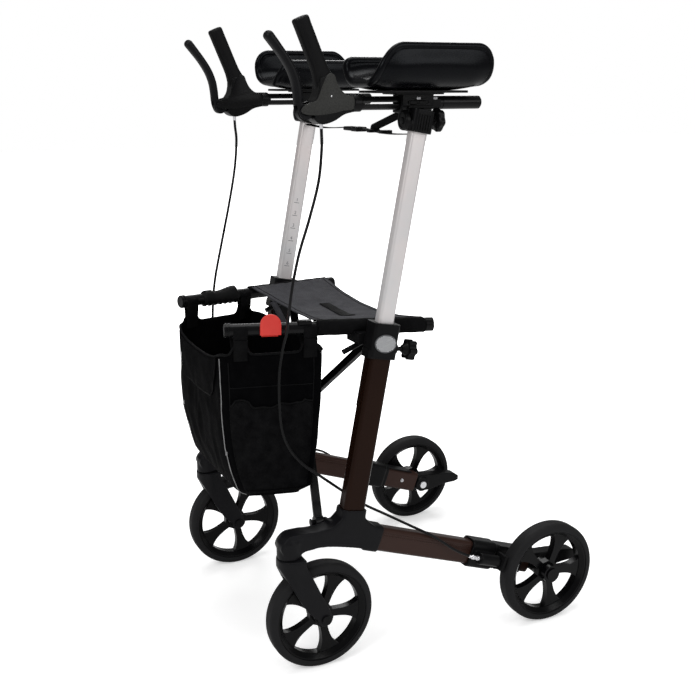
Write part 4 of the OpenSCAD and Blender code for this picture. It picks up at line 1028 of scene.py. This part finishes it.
# clamp details: a lobed knob, a ringed disc, ribs and a drilled side plate with two nuts
clampLook = dict(
    bolt=Vector((frameX - 3, clampY, clampBoltZ)), plate=(armX + 17.6, -33, 986.5), ribSize=(2.8, 2.2, 26),
    plateSize=(3.6, 62, 15), holesY=(-45, -34, -23), nutsY=(-46, -14),
    knob=[(0, 0), (9, 0), (10, 2), (17, 4), (18.6, 6), (18.6, 13), (17, 15), (9, 16.6), (7, 15.6),
        (0, 15.6)],
    disc=[(0, -1), (15.4, -1), (15.4, 0.8), (13.6, 1.6), (12, 1.6), (11.4, 0.4), (6, 0.4), (5.4, 2.2),
        (3, 2.6), (0, 2.6)],
    hole=[(0, -0.8), (3.2, -0.8), (3.2, 0.5), (2.5, 0.7), (2.0, 0.2), (0, -0.3)],
    nut=[(0, 0), (5, 0), (5, 3.4), (4.2, 4.2), (0, 4.2)])


def makeClamp(side, name, look):
    upper, knob = name + "_upper", name + "_clamp_knob"
    x, y, z = look["plate"]
    at = spot(side, look["bolt"] + Vector((0, 29.2, 0)))
    place(lathe(name + "_knob_lobes", at, (0, 1, 0), look["knob"], "plastic", 72, 35, 6, 0.07), knob, knob)
    at = spot(side, look["bolt"] - Vector((0, 28, 0)))
    place(lathe(name + "_clamp_disc", at, (0, -1, 0), look["disc"], "plastic", 40), upper)
    for n in range(5):
        at = spot(side, onUpright(17.2, -10 + 5 * n, 678))
        place(block(f"{name}_clamp_rib_{n}", at, look["ribSize"], uprightAxes, 0.7, "plastic"), upper)
    at = spot(side, (x, y, z))
    place(block(name + "_clamp_side", at, look["plateSize"], squareAxes, 1.1, "plastic"), upper)
    for n, holeY in enumerate(look["holesY"]):
        at = spot(side, (x + 1.8, holeY, z))
        place(lathe(f"{name}_clamp_hole_{n}", at, (side, 0, 0), look["hole"], "plastic", 20), upper)
    for n, nutY in enumerate(look["nutsY"]):
        at = spot(side, (x - 0.2, nutY, z + 6.9))
        place(lathe(f"{name}_clamp_nut_{n}", at, (0, 0, 1), look["nut"], "steel", 6, 30), upper)


for side, name in bothSides:
    makeClamp(side, name, clampLook)
print("clamps made")


# carry grip: a sleeve with two humps on top and finger waves below
gripLook = dict(centre=-276.0, length=80.0, inner=11.1, rings=96, sides=40)


def makeCarryGrip(look):
    way = (railRear - railFront).normalized()
    up = (Vector((0, 0, 1)) - way * way.z).normalized()
    out = way.cross(up)
    rings = []
    for v in steps(look["rings"]):
        s = (v - 0.5) * look["length"]
        end = smoothstep(0, 4, look["length"] / 2 - abs(s))
        low = smoothstep(-39, -33, s) * smoothstep(-14, -20, s)
        high = smoothstep(-6, 32, s) * smoothstep(38, 34, s)
        ring = []
        for k in range(look["sides"]):
            a = 2 * pi * k / look["sides"]
            top, under = max(0, sin(a)) ** 1.5, max(0, -sin(a)) ** 1.5
            wave = end * (1.0 + cos(s * 2 * pi / 12))
            r = look["inner"] + 0.6 + 1.6 * end + (3.0 * low + 6.5 * high) * top + wave * under
            at = railAt(look["centre"]) + way * s + out * r * cos(a) + up * r * sin(a)
            ring.append(spot(-1, at))
        rings.append(ring)
    place(loft("carry_grip_sleeve", rings, "rubber", 60), "right_seat_frame", "carry_grip")


makeCarryGrip(gripLook)
print("carry grip made")


# safety strap: two webbing halves with a buckle, sliders and a stay to the left clamp
strapLook = dict(
    z=armZ - 50.5, y=clampY - 4, width=15, thick=1.8, keep=0.465, end=0.215,
    stayEnd=(armX - 16.5, clampY - 4, armZ - 15), slider=(14, 21, 6.2), socket=(26, 22, 8.5),
    plug=(32, 20, 7.2))


def makeStraps(look):
    z, y = look["z"], look["y"]
    half = [(frameX - 10.4, y, z), (130, y, z - 3), (26, y, z + 2)]
    stayPath = [(62, y, z + 2.2), (84, y, z + 8), look["stayEnd"]]

    def draw(piece, body, end, *replaced):
        place(piece, body, *replaced)
        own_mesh(piece)

    def stayWidth(u):
        return 5 + 9 * smoothstep(0, 0.3, u)

    for side, name in bothSides:
        path = [spot(side, p) for p in spline(half[::side], 10)]
        web = band(name + "_strap_web", path, (0, 1, 0), look["width"], look["thick"], "webbing")
        draw(web, name + "_upper", side * look["end"], name + "_strap")
    path = [mm(p) for p in spline(stayPath, 8)]
    stay = band("left_strap_stay", path, (-0.25, 0, 0.97), stayWidth, look["thick"], "webbing")
    draw(stay, "left_upper", look["stayEnd"][0] / 1000)
    for name, side, x, size in (("socket", "left", 13, look["socket"]), ("plug", "right", -17, look["plug"])):
        buckle = block("buckle_" + name, mm((x, y, z)), size, squareAxes, 2, "plastic")
        draw(buckle, side + "_upper", copysign(look["end"], x))
    for label, x in (("a", 72), ("b", 118)):
        at = mm((x, y, z - 0.5))
        slider = block("strap_slider_" + label, at, look["slider"], squareAxes, 1.5, "plastic")
        draw(slider, "left_upper", look["end"])


makeStraps(strapLook)
print("straps made")


# small fittings on the frame
fittingLook = dict(
    cellPitch=2.4, cellRadii=((1.08, 0.0), (0.72, 0.6)), reflector=(19.6, 14.8), marks=6, markFirst=365,
    markStep=26.5, numeral=0.0095, lines=(13.5, 9.0), strut=((184, -165, 566), (184, -124, 582)),
    boss=(190, -136, 590), bossProfile=[(0, -4), (9, -4), (10.5, -2), (10.5, 8), (8.5, 11), (0, 11)])


def bolt(name, at, axis, r, body, high=3.5):
    profile = [(0.0, -1), (r * 1.25, -1), (r * 1.25, 0.6), (r, 0.8), (r, high * 0.7), (r * 0.8, high),
               (r * 0.5, high), (r * 0.45, high * 0.45), (0.0, high * 0.45)]
    place(lathe(name, at, axis, profile, "steel", 24, 30), body)


def makeReflectorCells(side, name, look):
    verts, faces = [], []
    pitch, (w, h) = look["cellPitch"], look["reflector"]
    rise = pitch * 0.866
    rows = int(2 * h / rise) + 2
    for j in range(-rows, rows + 1):
        for i in range(-10, 11):
            u, v = (i + j % 2 / 2) * pitch, j * rise
            if (u / w) ** 2 + (v / h) ** 2 > 0.93:
                continue
            base = len(verts)
            for r, out in look["cellRadii"]:
                for k in range(6):
                    x, z = arcPoint(r, 60 * k + 30)
                    verts.append(spot(side, onUpright(19.1 + out, u + x, 304 + v + z)))
            faces += [(base + k, base + (k + 1) % 6, base + 6 + (k + 1) % 6, base + 6 + k) for k in range(6)]
            faces.append(tuple(base + 6 + k for k in range(6)))
            faces.append(tuple(base + k for k in reversed(range(6))))
    place(outward(addPiece(name + "_reflector_cells", verts, faces, "cells", 20)), name + "_frame")


def makeNumeral(name, digit, at, side, look):
    curve = bpy.data.curves.new(name, "FONT")
    curve.body, curve.size, curve.extrude, curve.align_x = digit, look["numeral"], 0.00012, "CENTER"
    text = addObject(name, curve)
    out, up = Vector((-side, 0, 0)), Vector(uprightAxes[2])
    text.matrix_world = Matrix.Translation(at) @ Matrix((up.cross(out), up, out)).transposed().to_4x4()
    mesh = bakedMesh(text, finishes["ink"])
    mesh.transform(text.matrix_world)
    bpy.data.objects.remove(text)
    return addObject(name, mesh)


def makeScale(side, name, look):
    for n in range(look["marks"]):
        s = look["markFirst"] + look["markStep"] * n
        path = [spot(side, onUpright(-10.05, d, s)) for d in (-7.5, 3.5)]
        place(band(f"{name}_scale_tick_{n}", path, (0, 0, 1), 1.1, 0.4, "ink"), name + "_upper")
        at = spot(side, onUpright(-10.1, -1.5, s + 3))
        digit = str(look["marks"] - n)
        place(makeNumeral(f"{name}_scale_numeral_{n}", digit, at, side, look), name + "_upper")


def makeFittings(side, name, look):
    base, upper = name + "_frame", name + "_upper"
    bolt(name + "_beam_bolt", spot(side, onBeam(-14, 0, 305.9)), (-side, 0, 0), 3.2, base)
    # black cover over the outer face and top of the beam beside the wheel
    for label, at, size in (("side", (15, 0.5), (2.4, 46.5, 64)), ("top", (1, 23), (30.4, 2.4, 64))):
        at = spot(side, onBeam(*at, 294))
        place(block(f"{name}_beam_cover_{label}", at, size, beamAxes, 0.8, "plastic"), base)
    at = spot(side, (armX + 16.2, armRailFrontY - 6, armZ + 12))
    bolt(name + "_handle_screw", at, (side, 0, 0), 1.2, name + "_arm", 1)
    # dark guide strip near the top of the silver tube
    strip = [spot(side, onUpright(0, 16.2, s)) for s in (630, 643, 656)]
    place(band(name + "_tube_strip", strip, (1, 0, 0), 6, 2.4, "plastic"), upper)
    # two raised lines along each face of the beam
    for n, up in enumerate(look["lines"]):
        for label, x in (("outer", 14.05), ("inner", -14.05)):
            path = [spot(side, onBeam(x, up, s)) for s in (-4, 60, 130, 195)]
            place(tube(f"{name}_beam_line_{label}_{n}", path, 0.6, 6, "brown"), base)
    # black plate on the inner face of the upright, painted shade where that face lies in shadow, with a strut
    # and a boss beside the collar
    at = spot(side, onUpright(-15.4, 0, 240))
    place(block(name + "_painted_shade_plate", at, (4, 36, 112), uprightAxes, 1.8, "plastic"), base)
    strut = [spot(side, p) for p in look["strut"]]
    place(tube(name + "_latch_strut", strut, 4.8, 12, "plastic"), base)
    at = spot(side, look["boss"])
    place(lathe(name + "_latch_boss", at, (side, 0, 0), look["bossProfile"], "plastic", 24), base)


def makeRailButton():
    way = (railRear - railFront).normalized()
    axes = (way.cross(Vector((0, 0, 1))), way, (0, 0, 1))
    at = mm(railAt(-228) + Vector((4, 0, 11.5)))
    place(block("rail_button", at, (14, 24, 8), axes, 2.2, "rim"), "left_seat_frame")


for side, name in bothSides:
    makeReflectorCells(side, name, fittingLook)
    makeScale(side, name, fittingLook)
    makeFittings(side, name, fittingLook)
makeRailButton()
print("fittings made")


# floor, studio light and white surround
studioLook = dict(
    floor=srgb(238, 238, 238), floorSize=14.0, glow=0.42, diffuse=0.5, glossy=0.22,
    aim=Vector((0, 0, 0.55)),
    lamps=(("key", (1.6, -2.6, 2.8), 1.5, 46), ("fill", (3.0, 1.4, 1.9), 1.6, 26), ("top", (-0.1, 0.0, 3.2),
        2.0, 44), ("back", (-2.4, 1.2, 2.2), 1.4, 22)))


def makeFloor(look):
    size = look["floorSize"]
    corners = [(-size, -size, 0), (size, -size, 0), (size, size, 0), (-size, size, 0)]
    floor = addPiece("floor", corners, [(0, 1, 2, 3)])
    material = bpy.data.materials.new("paleFloor")
    material.use_nodes = True
    tree = material.node_tree
    shader = tree.nodes["Principled BSDF"]
    shader.inputs["Base Color"].default_value = look["floor"]
    shader.inputs["Roughness"].default_value = 0.9
    shader.inputs["Specular IOR Level"].default_value = 0.05
    # for the camera the floor glows a little, and turns fully white away from the walker
    path = tree.nodes.new("ShaderNodeLightPath")
    far = tree.nodes.new("ShaderNodeVectorMath")
    far.operation = "LENGTH"
    tree.links.new(objectCoords(tree), far.inputs[0])
    fade = mapRange(tree, far.outputs["Value"], 0.55, 1.5, look["glow"], 1.6)
    shader.inputs["Emission Color"].default_value = (1, 1, 1, 1)
    glow = math2(tree, "MULTIPLY", fade, path.outputs["Is Camera Ray"])
    tree.links.new(glow, shader.inputs["Emission Strength"])
    floor.data.materials.append(material)


def makeLamps(look):
    for name, at, size, power in look["lamps"]:
        data = bpy.data.lights.new(name, "AREA")
        data.shape, data.size, data.energy = "DISK", size, power
        aim(addObject(name, data), at, look["aim"] - Vector(at))


def makeSurround(look):
    world = bpy.data.worlds.new("studio")
    bpy.context.scene.world = world
    world.use_nodes = True
    tree = world.node_tree
    path = tree.nodes.new("ShaderNodeLightPath")
    dim = mapRange(tree, path.outputs["Is Glossy Ray"], 0.0, 1.0, look["diffuse"], look["glossy"])
    seen = math2(tree, "MAXIMUM", dim, path.outputs["Is Camera Ray"])
    tree.nodes["Background"].inputs["Color"].default_value = (1, 1, 1, 1)
    tree.links.new(seen, tree.nodes["Background"].inputs["Strength"])


makeFloor(studioLook)
makeLamps(studioLook)
makeSurround(studioLook)
bpy.context.scene.view_settings.view_transform = "Standard"
print("studio made")
